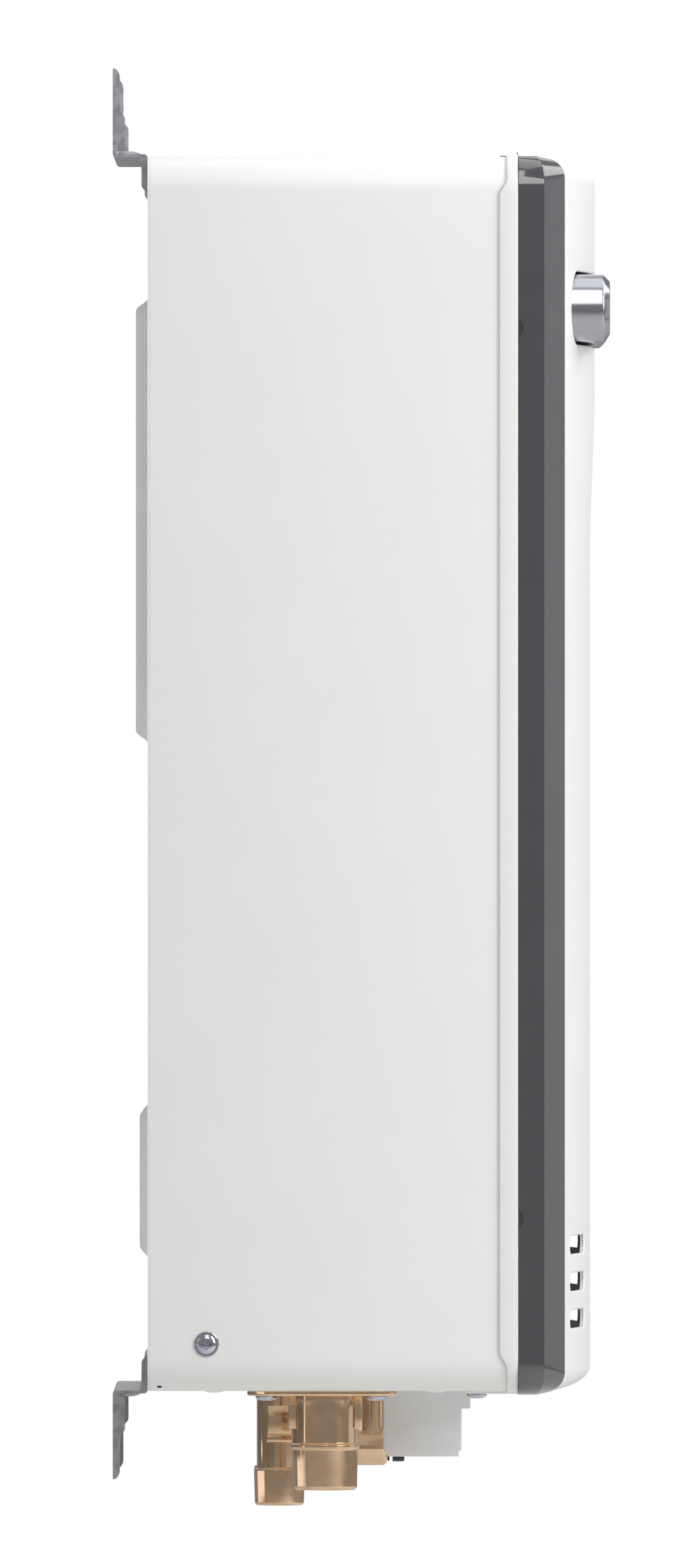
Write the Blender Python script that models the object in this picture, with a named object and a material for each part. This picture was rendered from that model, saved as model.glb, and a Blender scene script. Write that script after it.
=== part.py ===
"""Tankless gas water heater that hangs on an outside wall.

Metres, +Z up. The wall is the plane Y = 0 and the front of the heater faces -Y.
The origin is the middle of the upper bracket's wall face.
"""

import math

import bmesh
import bpy
from mathutils import Vector

for old in list(bpy.data.objects):
    bpy.data.objects.remove(old, do_unlink=True)

# Clearances shared by every piece
GAP = 0.0003
OVERRUN = 0.004

# Combustion group, stacked from the blower at the bottom to the flue at the top
GROUP_Y = -0.110
JACKET_WIDTH = 0.236
JACKET_DEPTH = 0.110
JACKET_HEIGHT = 0.1547
JACKET_SHEET = 0.0012
JACKET_FLANGE = 0.010
BURNER_BOX_HEIGHT = 0.1200
BURNER_BOX_MARGIN = 0.004  # past the jacket at each side
BURNER_BOX_DEPTH_MARGIN = 0.005
BURNER_COUNT = 9
BURNER_ROOM = 0.014
FLUE_HEIGHT = 0.0850
FLUE_MARGIN = 0.032
FLUE_ROOM = 0.03565
SIDE_ROOM = 0.060
TUBE_RADIUS = 0.008
TUBE_COUNT = 4
TUBE_DEPTH = 0.0467
TUBE_STUB = 0.010
FIN_COUNT = 11
FIN_ROOM = 0.007
COIL_RADIUS = 0.007
COIL_PITCH = 0.016
COIL_TURNS = 3
COIL_LIFT = 0.012
COIL_DROP = 0.040

# Blower
BLOWER_X = -0.025
BLOWER_FOOT = 0.18565
BLOWER_DROP = 0.0900
BLOWER_BACK = 0.075
BLOWER_DEPTH = 0.052
BLOWER_WALL = 0.0024
IMPELLER_RADIUS = 0.050
IMPELLER_BLADES = 16
SCROLL_ROOM = 0.006
SCROLL_GROWTH = 0.024
SCROLL_DUCT = 0.044
SHAFT_RADIUS = 0.004

# Case, sized round the combustion group
CASE_WIDTH = JACKET_WIDTH + 2 * SIDE_ROOM
CASE_HEIGHT = BLOWER_FOOT + BLOWER_DROP + BURNER_BOX_HEIGHT + JACKET_HEIGHT + GAP + FLUE_HEIGHT + FLUE_ROOM
CASE_CORNER = 0.0185
CASE_SHEET = 0.0010
CASE_REACH = 0.2175  # from the wall to the front edge of the case wrap
CASE_FLANGE = 0.012
STANDOFF = 0.0193

# Wall brackets
BRACKET_WIDTH = 0.260
BRACKET_SHEET = 0.0016
WALL_PLATE_HEIGHT = 0.0467
FOOT_RISE = 0.0020

# Front cover
SKIRT_PROUD = 0.0012
SKIRT_STAND = 0.0031
SKIRT_FLANGE = 0.022
LUG_IN = 0.048
LUG_SHEET = 0.0016
LUG_SCREW_IN = 0.0191
GASKET_THICKNESS = 0.0015
TRIM_PROUD = 0.0009
TRIM_BAND = 0.0139
TRIM_CHAMFER = 0.0113
TRIM_INSET = 0.0123
TRIM_CORNER = 0.0175
TRIM_LIP = 0.0008
TRIM_TOP_PROUD = 0.00065
TRIM_BOTTOM_PROUD = 0.00195
TOP_ARCH = 0.0049
BOTTOM_ARCH = 0.0019
DOME_CORNER = 0.0110
DOME_RISE_TOP = 0.0175
DOME_RISE_LOW = 0.0150
DOME_EDGE = 0.0126
DOME_SHEET = 0.0014
EASE_START = 0.133  # below the exhaust outlet, where the crown begins to deepen
EASE_END = 0.043

# Exhaust outlet
OUTLET_MARGIN = 0.006
OUTLET_HEIGHT = 0.0383
OUTLET_DROP = 0.0470
OUTLET_REACH = 0.2709
OUTLET_SHEET = 0.0015
OUTLET_CLEARANCE = 0.0015

# Ignition and manifold
MANIFOLD_LIFT = 0.020
MANIFOLD_IN = 0.002
MANIFOLD_DEPTH = 0.0165
MANIFOLD_STAND = 0.0028
ROD_DROP = 0.018
ELECTRODE_X = 0.020
ELECTRODE_REACH = 0.062
FLAME_ROD_X = -0.030
FLAME_ROD_REACH = 0.078

# Places of the fittings under the case
GAS_IN = 0.078
GAS_Y = -0.1158
GAS_NECK = 0.013
RISER_IN = 0.020
HOT_IN = 0.043
WATER_PITCH = 0.075
WATER_Y = -0.0904
WATER_RADIUS = 0.0124
WATER_COLLAR = 0.0140
WATER_BORE = 0.0095
WATER_DROP = 0.0670
FILTER_DROP = 0.0351
FILTER_RADIUS = 0.0099
FILTER_END = 0.1495
FILTER_BORE = 0.0066
PLUG_NECK = 0.0048
PLUG_SHANK = 0.0185
PIPE_RADIUS = 0.008
PIPE_BEND = 0.014

# Water train, heights from the bottom of the case
SEAT_RISE = 0.0040
SENSOR_LOW = 0.0103
SENSOR_HIGH = 0.0504
SENSOR_RADIUS = 0.0150
SENSOR_BORE = 0.0100
BLADE_COUNT = 5
VALVE_HALF = 0.0220
WATER_VALVE_HEIGHT = 0.0350
WATER_PORT_RISE = 0.0190
SPINDLE_RADIUS = 0.0050
SPINDLE_IN = 0.030
SPINDLE_OUT = 0.014
HOT_PORT_LIFT = 0.004
HOT_PORT_REACH = 0.0165
THERMISTOR_RISE = 0.045

# Gas train, heights from the bottom of the case
VALVE_LOW = 0.0160
VALVE_HEIGHT = 0.0797
VALVE_DEPTH = 0.058
VALVE_BOSS = 0.004
VALVE_OUT_IN = 0.018
VALVE_OUT_FORWARD = 0.0042
COIL_SPREAD = 0.0175
COIL_STAND = 0.0023
COIL_RISE = 0.039
MAIN_COIL_RADIUS = 0.0160
MAIN_COIL_LENGTH = 0.034
MODULATING_COIL_RADIUS = 0.0140
MODULATING_COIL_LENGTH = 0.036
PLUNGER_RADIUS = 0.0045
PLUNGER_LENGTH = 0.026
PLUNGER_TRAVEL = 0.0025
PLATE_DROP = 0.0003
PLATE_SHEET = 0.0031
PLATE_SCREW_BACK = 0.0320
PLATE_SCREW_FRONT = 0.0279

# Control tray and terminals
TRAY_DEPTH = 0.028
TRAY_FRONT_IN = 0.0215
TRAY_BACK_IN = 0.0427
TRAY_LIFT = 0.10965
TRAY_DROP = 0.042
BOARD_DEPTH = 0.008
TERMINAL_SHIFT = 0.005
TERMINAL_IN = 0.0223

# Values worked out from the above
MID_Z = -(CASE_HEIGHT / 2 + FOOT_RISE + WALL_PLATE_HEIGHT / 2)
BOTTOM_Z = MID_Z - CASE_HEIGHT / 2
CASE_BACK = -STANDOFF
WRAP_BACK = CASE_BACK - CASE_SHEET - GAP
WRAP_FRONT = -CASE_REACH
SKIRT_FRONT = WRAP_FRONT - SKIRT_STAND
TRIM_BACK = SKIRT_FRONT - GAP
TRIM_MID = TRIM_BACK - TRIM_BAND
TRIM_FRONT = TRIM_MID - TRIM_CHAMFER
TRIM_HALF = CASE_WIDTH / 2 + TRIM_PROUD
TRIM_TOP = CASE_HEIGHT / 2 + TRIM_TOP_PROUD
TRIM_BOTTOM = CASE_HEIGHT / 2 + TRIM_BOTTOM_PROUD
LIP_HALF = TRIM_HALF - TRIM_INSET
LUG_X = CASE_WIDTH / 2 - LUG_IN
LUG_SCREW_Y = CASE_REACH - LUG_SCREW_IN

# Heights from the middle of the case
BLOWER_RISE = BLOWER_FOOT - CASE_HEIGHT / 2
BURNER_BOX_LOW = BLOWER_RISE + BLOWER_DROP
JACKET_LOW = BURNER_BOX_LOW + BURNER_BOX_HEIGHT
JACKET_HIGH = JACKET_LOW + JACKET_HEIGHT
FLUE_TOP = JACKET_HIGH + GAP + FLUE_HEIGHT
OUTLET_RISE = FLUE_TOP - OUTLET_DROP
EASE_LOW = OUTLET_RISE - EASE_START
EASE_HIGH = OUTLET_RISE - EASE_END
TUBE_RISE = JACKET_HIGH - TUBE_DEPTH
COIL_LOW = JACKET_LOW + COIL_LIFT
MANIFOLD_RISE = BURNER_BOX_LOW + MANIFOLD_LIFT
ROD_RISE = JACKET_LOW - ROD_DROP
TRAY_LOW = TRAY_LIFT - CASE_HEIGHT / 2
TRAY_HIGH = JACKET_LOW - TRAY_DROP

# Heights from the bottom of the case
FILTER_RISE = -FILTER_DROP
WATER_VALVE_HIGH = SENSOR_HIGH + GAP + WATER_VALVE_HEIGHT
WATER_PORT = SENSOR_HIGH + GAP + WATER_PORT_RISE
HOT_PORT = WATER_PORT + HOT_PORT_LIFT
VALVE_HIGH = VALVE_LOW + VALVE_HEIGHT
VALVE_COIL_RISE = VALVE_LOW + COIL_RISE

# Widths and depths
FLUE_WIDTH = JACKET_WIDTH + 2 * FLUE_MARGIN
OUTLET_WIDTH = FLUE_WIDTH - 2 * OUTLET_MARGIN
TUBE_PITCH = (JACKET_DEPTH - 2 * FIN_ROOM) / TUBE_COUNT
BURNER_BOX_WIDTH = JACKET_WIDTH + 2 * BURNER_BOX_MARGIN
BURNER_BOX_DEPTH = JACKET_DEPTH + 2 * BURNER_BOX_DEPTH_MARGIN
BURNER_PITCH = (BURNER_BOX_WIDTH - 2 * BURNER_ROOM) / BURNER_COUNT
MANIFOLD_HALF = JACKET_WIDTH / 2 - MANIFOLD_IN
SCROLL_START = IMPELLER_RADIUS + SCROLL_ROOM
GAS_X = GAS_IN - CASE_WIDTH / 2
RISER_X = CASE_WIDTH / 2 - RISER_IN
HOT_X = RISER_X - HOT_IN
COLD_X = HOT_X - WATER_PITCH
VALVE_OUT_X = GAS_X - VALVE_OUT_IN
VALVE_OUT_Y = GAS_Y - VALVE_OUT_FORWARD
MAIN_COIL_X = GAS_X - COIL_SPREAD
MODULATING_COIL_X = GAS_X + COIL_SPREAD
COIL_BACK = GAS_Y - VALVE_DEPTH / 2 - COIL_STAND
PLATE_SCREW_YS = (GAS_Y + PLATE_SCREW_BACK, GAS_Y - PLATE_SCREW_FRONT)
TRAY_OPENING = TRAY_DEPTH - CASE_WIDTH / 2
TRAY_FRONT = TRAY_FRONT_IN - CASE_REACH
TRAY_BACK = CASE_BACK - TRAY_BACK_IN
BOARD_X = BOARD_DEPTH - CASE_WIDTH / 2
TERMINAL_X = (GAS_X + COLD_X) / 2 + TERMINAL_SHIFT

# How finely the curves are faceted
CORNER_STEPS = 4
ROUND_STEPS = 16
COLUMN_STEPS = 6
EASE_STEPS = 3


def material(name, colour, roughness, metallic=0.0):
    """A Principled material, made once and then shared."""
    found = bpy.data.materials.get(name)
    if found:
        return found
    made = bpy.data.materials.new(name)
    made.use_nodes = True
    shader = made.node_tree.nodes["Principled BSDF"]
    shader.inputs["Base Color"].default_value = (*colour, 1.0)
    shader.inputs["Roughness"].default_value = roughness
    shader.inputs["Metallic"].default_value = metallic
    made.diffuse_color = (*colour, 1.0)
    return made


def white_paint():
    return material("white_paint", (0.86, 0.86, 0.85), 0.42)


def dark_trim():
    return material("dark_trim", (0.11, 0.11, 0.115), 0.22)


def zinc_sheet():
    return material("zinc_sheet", (0.46, 0.47, 0.48), 0.38, 1.0)


def stainless():
    return material("stainless", (0.62, 0.61, 0.59), 0.22, 1.0)


def brass():
    return material("brass", (0.60, 0.43, 0.27), 0.34, 1.0)


def copper():
    return material("copper", (0.72, 0.36, 0.22), 0.32, 1.0)


def cast_aluminium():
    return material("cast_aluminium", (0.58, 0.59, 0.60), 0.50, 1.0)


def black_plastic():
    return material("black_plastic", (0.025, 0.025, 0.027), 0.45)


def pale_plastic():
    return material("pale_plastic", (0.72, 0.73, 0.74), 0.35)


def black_rubber():
    return material("black_rubber", (0.018, 0.018, 0.018), 0.80)


def board_green():
    return material("board_green", (0.03, 0.16, 0.07), 0.40)


def ceramic():
    return material("ceramic", (0.82, 0.79, 0.72), 0.35)


def mesh_object(name, points, faces):
    """A new closed mesh whose faces point outwards."""
    mesh = bpy.data.meshes.new(name)
    mesh.from_pydata([tuple(p) for p in points], [], faces)
    work = bmesh.new()
    work.from_mesh(mesh)
    bmesh.ops.recalc_face_normals(work, faces=work.faces)
    work.to_mesh(mesh)
    work.free()
    obj = bpy.data.objects.new(name, mesh)
    bpy.context.scene.collection.objects.link(obj)
    return obj


def loft(name, rings, hollow=False):
    """Skins rings of equal length; hollow joins the last ring to the first, otherwise the ends are capped."""
    count = len(rings[0])
    points = [p for ring in rings for p in ring]
    pairs = len(rings) if hollow else len(rings) - 1
    faces = []
    for r in range(pairs):
        near = r * count
        far = (r + 1) % len(rings) * count
        for i in range(count):
            j = (i + 1) % count
            faces.append((near + i, near + j, far + j, far + i))
    if not hollow:
        faces.append(tuple(range(count)))
        faces.append(tuple(range(pairs * count, (pairs + 1) * count)))
    return mesh_object(name, points, faces)


def placed(first, second, along, axis):
    """A point from its two cross coordinates and the one along the axis."""
    if axis == "X":
        return (along, first, second)
    if axis == "Y":
        return (first, along, second)
    return (first, second, along)


def prism(name, outline, axis, start, end):
    """An outline carried straight along an axis."""
    return loft(name, [[placed(a, b, along, axis) for a, b in outline] for along in (start, end)])


def box(name, low, high):
    outline = [(low[0], low[2]), (high[0], low[2]), (high[0], high[2]), (low[0], high[2])]
    return prism(name, outline, "Y", low[1], high[1])


def circle(centre, radius, steps=ROUND_STEPS, turn=0.0):
    return [
        (
            centre[0] + radius * math.cos(turn + math.tau * i / steps),
            centre[1] + radius * math.sin(turn + math.tau * i / steps),
        )
        for i in range(steps)
    ]


def turned(name, profile, centre, axis, steps=ROUND_STEPS, hollow=False):
    """A profile of (radius, place along the axis) turned round an axis through centre."""
    rings = []
    for radius, along in profile:
        rings.append([placed(a, b, along, axis) for a, b in circle(centre, radius, steps)])
    return loft(name, rings, hollow)


def rod(name, centre, radius, axis, start, end, steps=ROUND_STEPS):
    return turned(name, [(radius, start), (radius, end)], centre, axis, steps)


def rounded(half, low, high, corner, top_arch=0.0, low_arch=0.0, arch_steps=1):
    """A rounded rectangle about x = 0 whose top and bottom edges may bow outwards."""
    points = []

    def arc(centre_x, centre_z, start):
        for i in range(CORNER_STEPS + 1):
            angle = start + math.pi / 2 * i / CORNER_STEPS
            points.append((centre_x + corner * math.cos(angle), centre_z + corner * math.sin(angle)))

    def bow(side, level, arch):
        reach = half - corner
        for i in range(1, arch_steps):
            x = side * reach * (1 - 2 * i / arch_steps)
            points.append((x, level + arch * (1 - (x / reach) ** 2)))

    arc(half - corner, high - corner, 0.0)
    bow(1, high, top_arch)
    arc(corner - half, high - corner, math.pi / 2)
    arc(corner - half, low + corner, math.pi)
    bow(-1, low, -low_arch)
    arc(half - corner, low + corner, math.pi * 3 / 2)
    return points


def stadium(half_width, half_height, centre_z, steps=8):
    """A slot outline with full round ends, about x = 0."""
    reach = half_width - half_height
    points = []
    for side, start in ((1, -math.pi / 2), (-1, math.pi / 2)):
        for i in range(steps + 1):
            angle = start + math.pi * i / steps
            x = side * reach + half_height * math.cos(angle)
            points.append((x, centre_z + half_height * math.sin(angle)))
    return points


def at_y(outline, y):
    return [(x, y, z) for x, z in outline]


def evaluated_copy(obj):
    bpy.context.view_layer.update()
    graph = bpy.context.evaluated_depsgraph_get()
    return bpy.data.meshes.new_from_object(obj.evaluated_get(graph))


def apply_modifiers(obj):
    mesh = evaluated_copy(obj)
    obj.modifiers.clear()
    obj.data = mesh
    return obj


def boolean(obj, operation, tools):
    """Applies one exact Boolean for each tool, and removes the tools."""
    for tool in tools:
        modifier = obj.modifiers.new("boolean", "BOOLEAN")
        modifier.operation = operation
        modifier.solver = "EXACT"
        modifier.object = tool
        apply_modifiers(obj)
        bpy.data.objects.remove(tool, do_unlink=True)
    return obj


def cut(obj, *tools):
    return boolean(obj, "DIFFERENCE", tools)


def fuse(obj, *tools):
    return boolean(obj, "UNION", tools)


def joined(pieces):
    """Several closed meshes as one object, before a Boolean takes them."""
    work = bmesh.new()
    for piece in pieces:
        work.from_mesh(piece.data)
    first = pieces[0]
    work.to_mesh(first.data)
    work.free()
    for piece in pieces[1:]:
        bpy.data.objects.remove(piece, do_unlink=True)
    return first


def bevelled(obj, width, segments=1, angle=math.radians(40)):
    modifier = obj.modifiers.new("edges", "BEVEL")
    modifier.width = width
    modifier.segments = segments
    modifier.limit_method = "ANGLE"
    modifier.angle_limit = angle
    return apply_modifiers(obj)


def bent(points, radius, steps=3):
    """A path through the points whose corners are arcs of the given radius."""
    points = [Vector(p) for p in points]
    path = [points[0]]
    for before, corner, after in zip(points, points[1:], points[2:]):
        back = (before - corner).normalized()
        ahead = (after - corner).normalized()
        half = back.angle(ahead) / 2
        reach = radius / math.tan(half)
        middle = (back + ahead).normalized()
        centre = corner + middle * (radius / math.sin(half))
        start = (corner + back * reach - centre).normalized()
        end = (corner + ahead * reach - centre).normalized()
        for i in range(steps + 1):
            path.append(centre + radius * start.slerp(end, i / steps))
    path.append(points[-1])
    return path


def pipe(name, path, radius, resolution=2):
    """A bevelled curve with filled caps, kept as a mesh."""
    curve = bpy.data.curves.new(name, "CURVE")
    curve.dimensions = "3D"
    curve.bevel_depth = radius
    curve.bevel_resolution = resolution
    curve.use_fill_caps = True
    spline = curve.splines.new("POLY")
    spline.points.add(len(path) - 1)
    for point, place in zip(spline.points, path):
        point.co = (*place, 1.0)
    guide = bpy.data.objects.new(name + "_path", curve)
    bpy.context.scene.collection.objects.link(guide)
    mesh = evaluated_copy(guide)
    bpy.data.objects.remove(guide, do_unlink=True)
    work = bmesh.new()
    work.from_mesh(mesh)
    bmesh.ops.remove_doubles(work, verts=work.verts, dist=GAP / 10)
    bmesh.ops.recalc_face_normals(work, faces=work.faces)
    work.to_mesh(mesh)
    work.free()
    obj = bpy.data.objects.new(name, mesh)
    bpy.context.scene.collection.objects.link(obj)
    return obj


def dome(name, centre, spread_x, spread_y, height, steps=8):
    """Half an ellipsoid on a level base; a negative height hangs down."""
    rings = []
    level_shares = (0.0, 0.45, 0.8)
    for share in level_shares:
        angle = share * math.pi / 2
        reach = math.cos(angle)
        level = centre[2] + height * math.sin(angle)
        ring = circle((0, 0), reach, steps)
        rings.append([(centre[0] + spread_x * a, centre[1] + spread_y * b, level) for a, b in ring])
    base = centre[2] - math.copysign(CASE_SHEET / 2, height)
    sink = [(x, y, base) for x, y, level in rings[0]]
    return loft(name, [sink, *rings])


def finish(obj, name, look, origin=None):
    """Names the piece, gives it its material and smooth shading and, if it moves, sets its origin."""
    obj.name = name
    obj.data.name = name
    obj.data.materials.clear()
    obj.data.materials.append(look)
    obj.data.shade_smooth()
    obj.data.set_sharp_from_angle(angle=math.radians(35))
    if origin:
        for vertex in obj.data.vertices:
            vertex.co -= Vector(origin)
        obj.location = origin
    return obj


# Case

def case_outline(inset):
    reach = CASE_HEIGHT / 2 - inset
    corner = CASE_CORNER - inset if inset < CASE_CORNER else CASE_SHEET
    return rounded(CASE_WIDTH / 2 - inset, MID_Z - reach, MID_Z + reach, corner)


def make_back_panel():
    """A flat back with two bulges pressed towards the wall, hollow from inside."""
    upper_rise, upper_drop, upper_depth = 0.0164, 0.07565, 0.0068
    lower_margin, lower_height, lower_depth = 0.07075, 0.0851, 0.0047
    bulge_in, bulge_corner, bulge_slope = 0.058, 0.016, 0.006
    bulge_half, reach = CASE_WIDTH / 2 - bulge_in, CASE_HEIGHT / 2
    bulges = (
        (upper_rise, reach - upper_drop, upper_depth),
        (lower_margin - reach, lower_margin - reach + lower_height, lower_depth),
    )
    front = CASE_BACK - CASE_SHEET
    panel = prism("panel", case_outline(0), "Y", CASE_BACK, front)

    def bulge(low, high, depth, shrink, base):
        foot = rounded(bulge_half - shrink, MID_Z + low + shrink, MID_Z + high - shrink, bulge_corner)
        inner = shrink + bulge_slope
        crest_corner = bulge_corner - bulge_slope
        crest = rounded(bulge_half - inner, MID_Z + low + inner, MID_Z + high - inner, crest_corner)
        crest_y = CASE_BACK + depth - (CASE_SHEET if shrink else 0)
        return loft("bulge", [at_y(foot, base), at_y(foot, CASE_BACK), at_y(crest, crest_y)])

    middle = CASE_BACK - CASE_SHEET / 2
    for low, high, depth in bulges:
        fuse(panel, bulge(low, high, depth, 0, middle))
        cut(panel, bulge(low, high, depth, CASE_SHEET, front - OVERRUN))
    return finish(panel, "back_panel", white_paint())


def make_case_wrap():
    """Sides, top and bottom folded from one sheet, with a flange round the front opening."""
    dimple_in, dimple_back_in, dimple_front_in = 0.0255, 0.0359, 0.0413
    dimple_spread, dimple_height = 0.0055, 0.0013
    wall = case_outline(0)
    inside = case_outline(CASE_SHEET)
    opening = case_outline(CASE_FLANGE)
    flange_back = WRAP_FRONT + CASE_SHEET
    rings = [
        at_y(wall, WRAP_BACK),
        at_y(wall, WRAP_FRONT),
        at_y(opening, WRAP_FRONT),
        at_y(opening, flange_back),
        at_y(inside, flange_back),
        at_y(inside, WRAP_BACK),
    ]
    wrap = loft("wrap", rings, hollow=True)
    for side in (-1, 1):
        for y in (CASE_BACK - dimple_back_in, WRAP_FRONT + dimple_front_in):
            centre = (side * (CASE_WIDTH / 2 - dimple_in), y, BOTTOM_Z)
            fuse(wrap, dome("dimple", centre, dimple_spread, dimple_spread, -dimple_height))
    low, high = BOTTOM_Z - OVERRUN, BOTTOM_Z + OVERRUN
    holes = ((GAS_X, GAS_Y, GAS_NECK), (COLD_X, WATER_Y, WATER_RADIUS), (HOT_X, WATER_Y, WATER_RADIUS))
    for x, y, radius in holes:
        cut(wrap, rod("hole", (x, y), radius + GAP, "Z", low, high))
    return finish(wrap, "case_wrap", white_paint())


def make_side_screw(name, side):
    """A pan head screw with a pressed washer flange in the side of the case."""
    depth, rise = 0.0320, 0.02565
    head, crown, flange = 0.0050, 0.0022, 0.00675
    flange_thickness = 0.0006
    shoulder_share, shoulder_height_share, crown_share = 0.92, 0.75, 0.5
    face = side * (CASE_WIDTH / 2 + GAP)
    profile = [
        (flange, face),
        (flange, face + side * flange_thickness),
        (head, face + side * flange_thickness),
        (head * shoulder_share, face + side * crown * shoulder_height_share),
        (head * crown_share, face + side * crown),
    ]
    screw = turned("screw", profile, (CASE_BACK - depth, BOTTOM_Z + rise), "X", 12)
    return finish(screw, name, zinc_sheet())


# Wall brackets

def make_bracket(name, side):
    """A Z shaped bracket: wall plate, foot and case flange, with bent sides, pressed beads and slots."""
    case_flange, rim, foot_rim = 0.0208, 0.0067, 0.0041
    step_reach, step_rise, shoulder = 0.0039, 0.0255, 0.0200
    notch, slope = 0.0022, 0.0020
    bead_in, bead_spread, bead_depth, bead_height = 0.055, 0.016, 0.0075, 0.0030
    slot_in, slot_radius, slot_depth, hole_drop = 0.030, 0.0035, 0.0100, 0.0137
    hole_in, hole_half = 0.080, 0.0030
    sheet, depth, half = BRACKET_SHEET, STANDOFF - GAP, BRACKET_WIDTH / 2
    bead_x, slot_x, hole_x = half - bead_in, half - slot_in, half - hole_in
    foot = MID_Z + side * (CASE_HEIGHT / 2 + FOOT_RISE)

    def away(distance):
        return foot + side * distance

    section = [
        (0, away(WALL_PLATE_HEIGHT)),
        (0, away(-sheet)),
        (sheet - depth, away(-sheet)),
        (sheet - depth, away(-case_flange)),
        (-depth, away(-case_flange)),
        (-depth, away(0)),
        (-sheet, away(0)),
        (-sheet, away(WALL_PLATE_HEIGHT)),
    ]
    bracket = prism("bracket", section, "X", -half, half)
    wall_rim = [
        (-sheet / 2, away(notch)),
        (-rim, away(notch)),
        (-rim, away(shoulder)),
        (-rim + slope, away(shoulder + notch)),
        (-step_reach, away(step_rise)),
        (-step_reach, away(WALL_PLATE_HEIGHT - 2 * slope)),
        (-sheet, away(WALL_PLATE_HEIGHT)),
        (-sheet / 2, away(WALL_PLATE_HEIGHT)),
    ]
    low_rim = [
        (-sheet / 2, away(-sheet / 2)),
        (-sheet - notch, away(-foot_rim)),
        (rim - depth, away(-foot_rim)),
        (rim / 2 - depth, away(-foot_rim - rim / 2)),
        (rim / 2 - depth, away(rim / 2 - case_flange)),
        (sheet / 2 - depth, away(-case_flange)),
        (sheet / 2 - depth, away(-sheet / 2)),
    ]
    for end in (-1, 1):
        inner, outer = end * (half - sheet), end * half
        for outline in (wall_rim, low_rim):
            fuse(bracket, prism("rim", outline, "X", inner, outer))
        centre = (end * bead_x, -sheet / 2 - bead_depth, away(0))
        fuse(bracket, dome("bead", centre, bead_spread, bead_depth, side * bead_height))
        top = away(WALL_PLATE_HEIGHT + OVERRUN)
        base = away(WALL_PLATE_HEIGHT - slot_depth)
        slot_low, slot_high = sorted((base, top))
        slot_far = (end * slot_x + slot_radius, OVERRUN, slot_high)
        cut(bracket, box("slot", (end * slot_x - slot_radius, -OVERRUN, slot_low), slot_far))
        hole = stadium(slot_radius + hole_half, slot_radius, away(WALL_PLATE_HEIGHT - hole_drop), 4)
        slot = [(end * hole_x + x, z) for x, z in hole]
        cut(bracket, prism("hole", slot, "Y", -OVERRUN, OVERRUN))
    return finish(bracket, name, zinc_sheet())


# Front cover

def skirt_outline(inset):
    proud = SKIRT_PROUD - inset
    reach = CASE_HEIGHT / 2 + proud
    corner = CASE_CORNER + proud if inset < CASE_CORNER else CASE_SHEET
    return rounded(CASE_WIDTH / 2 + proud, MID_Z - reach, MID_Z + reach, corner, arch_steps=2)


def make_cover_skirt():
    """The white frame of the cover: a rim over the case, wider along the sides, with slotted lugs below."""
    sheet, side_width, corner_width = 0.0008, 0.0100, 0.0060
    ease_high, ease_low = 0.0255, 0.0085
    lug_half, lug_reach, slot_radius = 0.011, 0.0252, 0.0026
    lug_back = CASE_REACH - lug_reach
    wall, inside, opening = (skirt_outline(inset) for inset in (0, sheet, SKIRT_FLANGE))

    def width_at(z):
        into = (CASE_HEIGHT / 2 - abs(z - MID_Z) - ease_low) / (ease_high - ease_low)
        share = min(max(into, 0.0), 1.0)
        return corner_width + (side_width - corner_width) * share * share * (3 - 2 * share)

    def with_ease(outline):
        """More points where the rim changes its width, half way up each corner's end."""
        points = []
        for here, after in zip(outline, outline[1:] + outline[:1]):
            points.append(here)
            if abs(here[0] - after[0]) < GAP and abs(here[1] - after[1]) > CASE_HEIGHT / 2:
                for level in (ease_high, CASE_HEIGHT - ease_high):
                    z = here[1] + math.copysign(level - CASE_CORNER, after[1] - here[1])
                    points.append((here[0], z))
        return points

    wall, inside, opening = with_ease(wall), with_ease(inside), with_ease(opening)
    flange_back = SKIRT_FRONT + CASE_SHEET
    rings = [
        [(x, SKIRT_FRONT + width_at(z), z) for x, z in wall],
        at_y(wall, SKIRT_FRONT),
        at_y(opening, SKIRT_FRONT),
        at_y(opening, flange_back),
        at_y(inside, flange_back),
        [(x, SKIRT_FRONT + width_at(z), z) for x, z in inside],
    ]
    skirt = loft("skirt", rings, hollow=True)
    lug_top = BOTTOM_Z - GAP
    for side in (-1, 1):
        low = (side * LUG_X - lug_half, SKIRT_FRONT + CASE_SHEET / 2, lug_top - LUG_SHEET)
        high = (side * LUG_X + lug_half, -lug_back, lug_top)
        fuse(skirt, box("lug", low, high))
        slot_low = (side * LUG_X - slot_radius, -LUG_SCREW_Y - slot_radius, low[2] - OVERRUN)
        slot_high = (side * LUG_X + slot_radius, -lug_back + OVERRUN, high[2] + OVERRUN)
        cut(skirt, box("slot", slot_low, slot_high))
    return finish(skirt, "cover_skirt", white_paint())


def make_cover_screw(name, side):
    """A screw whose shank stands in the open slot of the cover's lug."""
    shank, head, head_height, crown_share = 0.0020, 0.0042, 0.0024, 0.6
    seat = BOTTOM_Z - GAP - LUG_SHEET - GAP
    profile = [
        (shank, BOTTOM_Z - GAP),
        (shank, seat),
        (head, seat),
        (head, seat - head_height * crown_share),
        (head * crown_share, seat - head_height),
    ]
    screw = turned("screw", profile, (side * LUG_X, -LUG_SCREW_Y), "Z", 12)
    return finish(screw, name, zinc_sheet())


def make_cover_gasket():
    """A flat foam ring between the case's front flange and the cover."""
    edge, band = 0.0020, 0.0080
    back, front = WRAP_FRONT - GAP, WRAP_FRONT - GAP - GASKET_THICKNESS
    outer, inner = case_outline(edge), case_outline(edge + band)
    rings = [at_y(outer, back), at_y(outer, front), at_y(inner, front), at_y(inner, back)]
    return finish(loft("gasket", rings, hollow=True), "cover_gasket", black_rubber())


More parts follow.
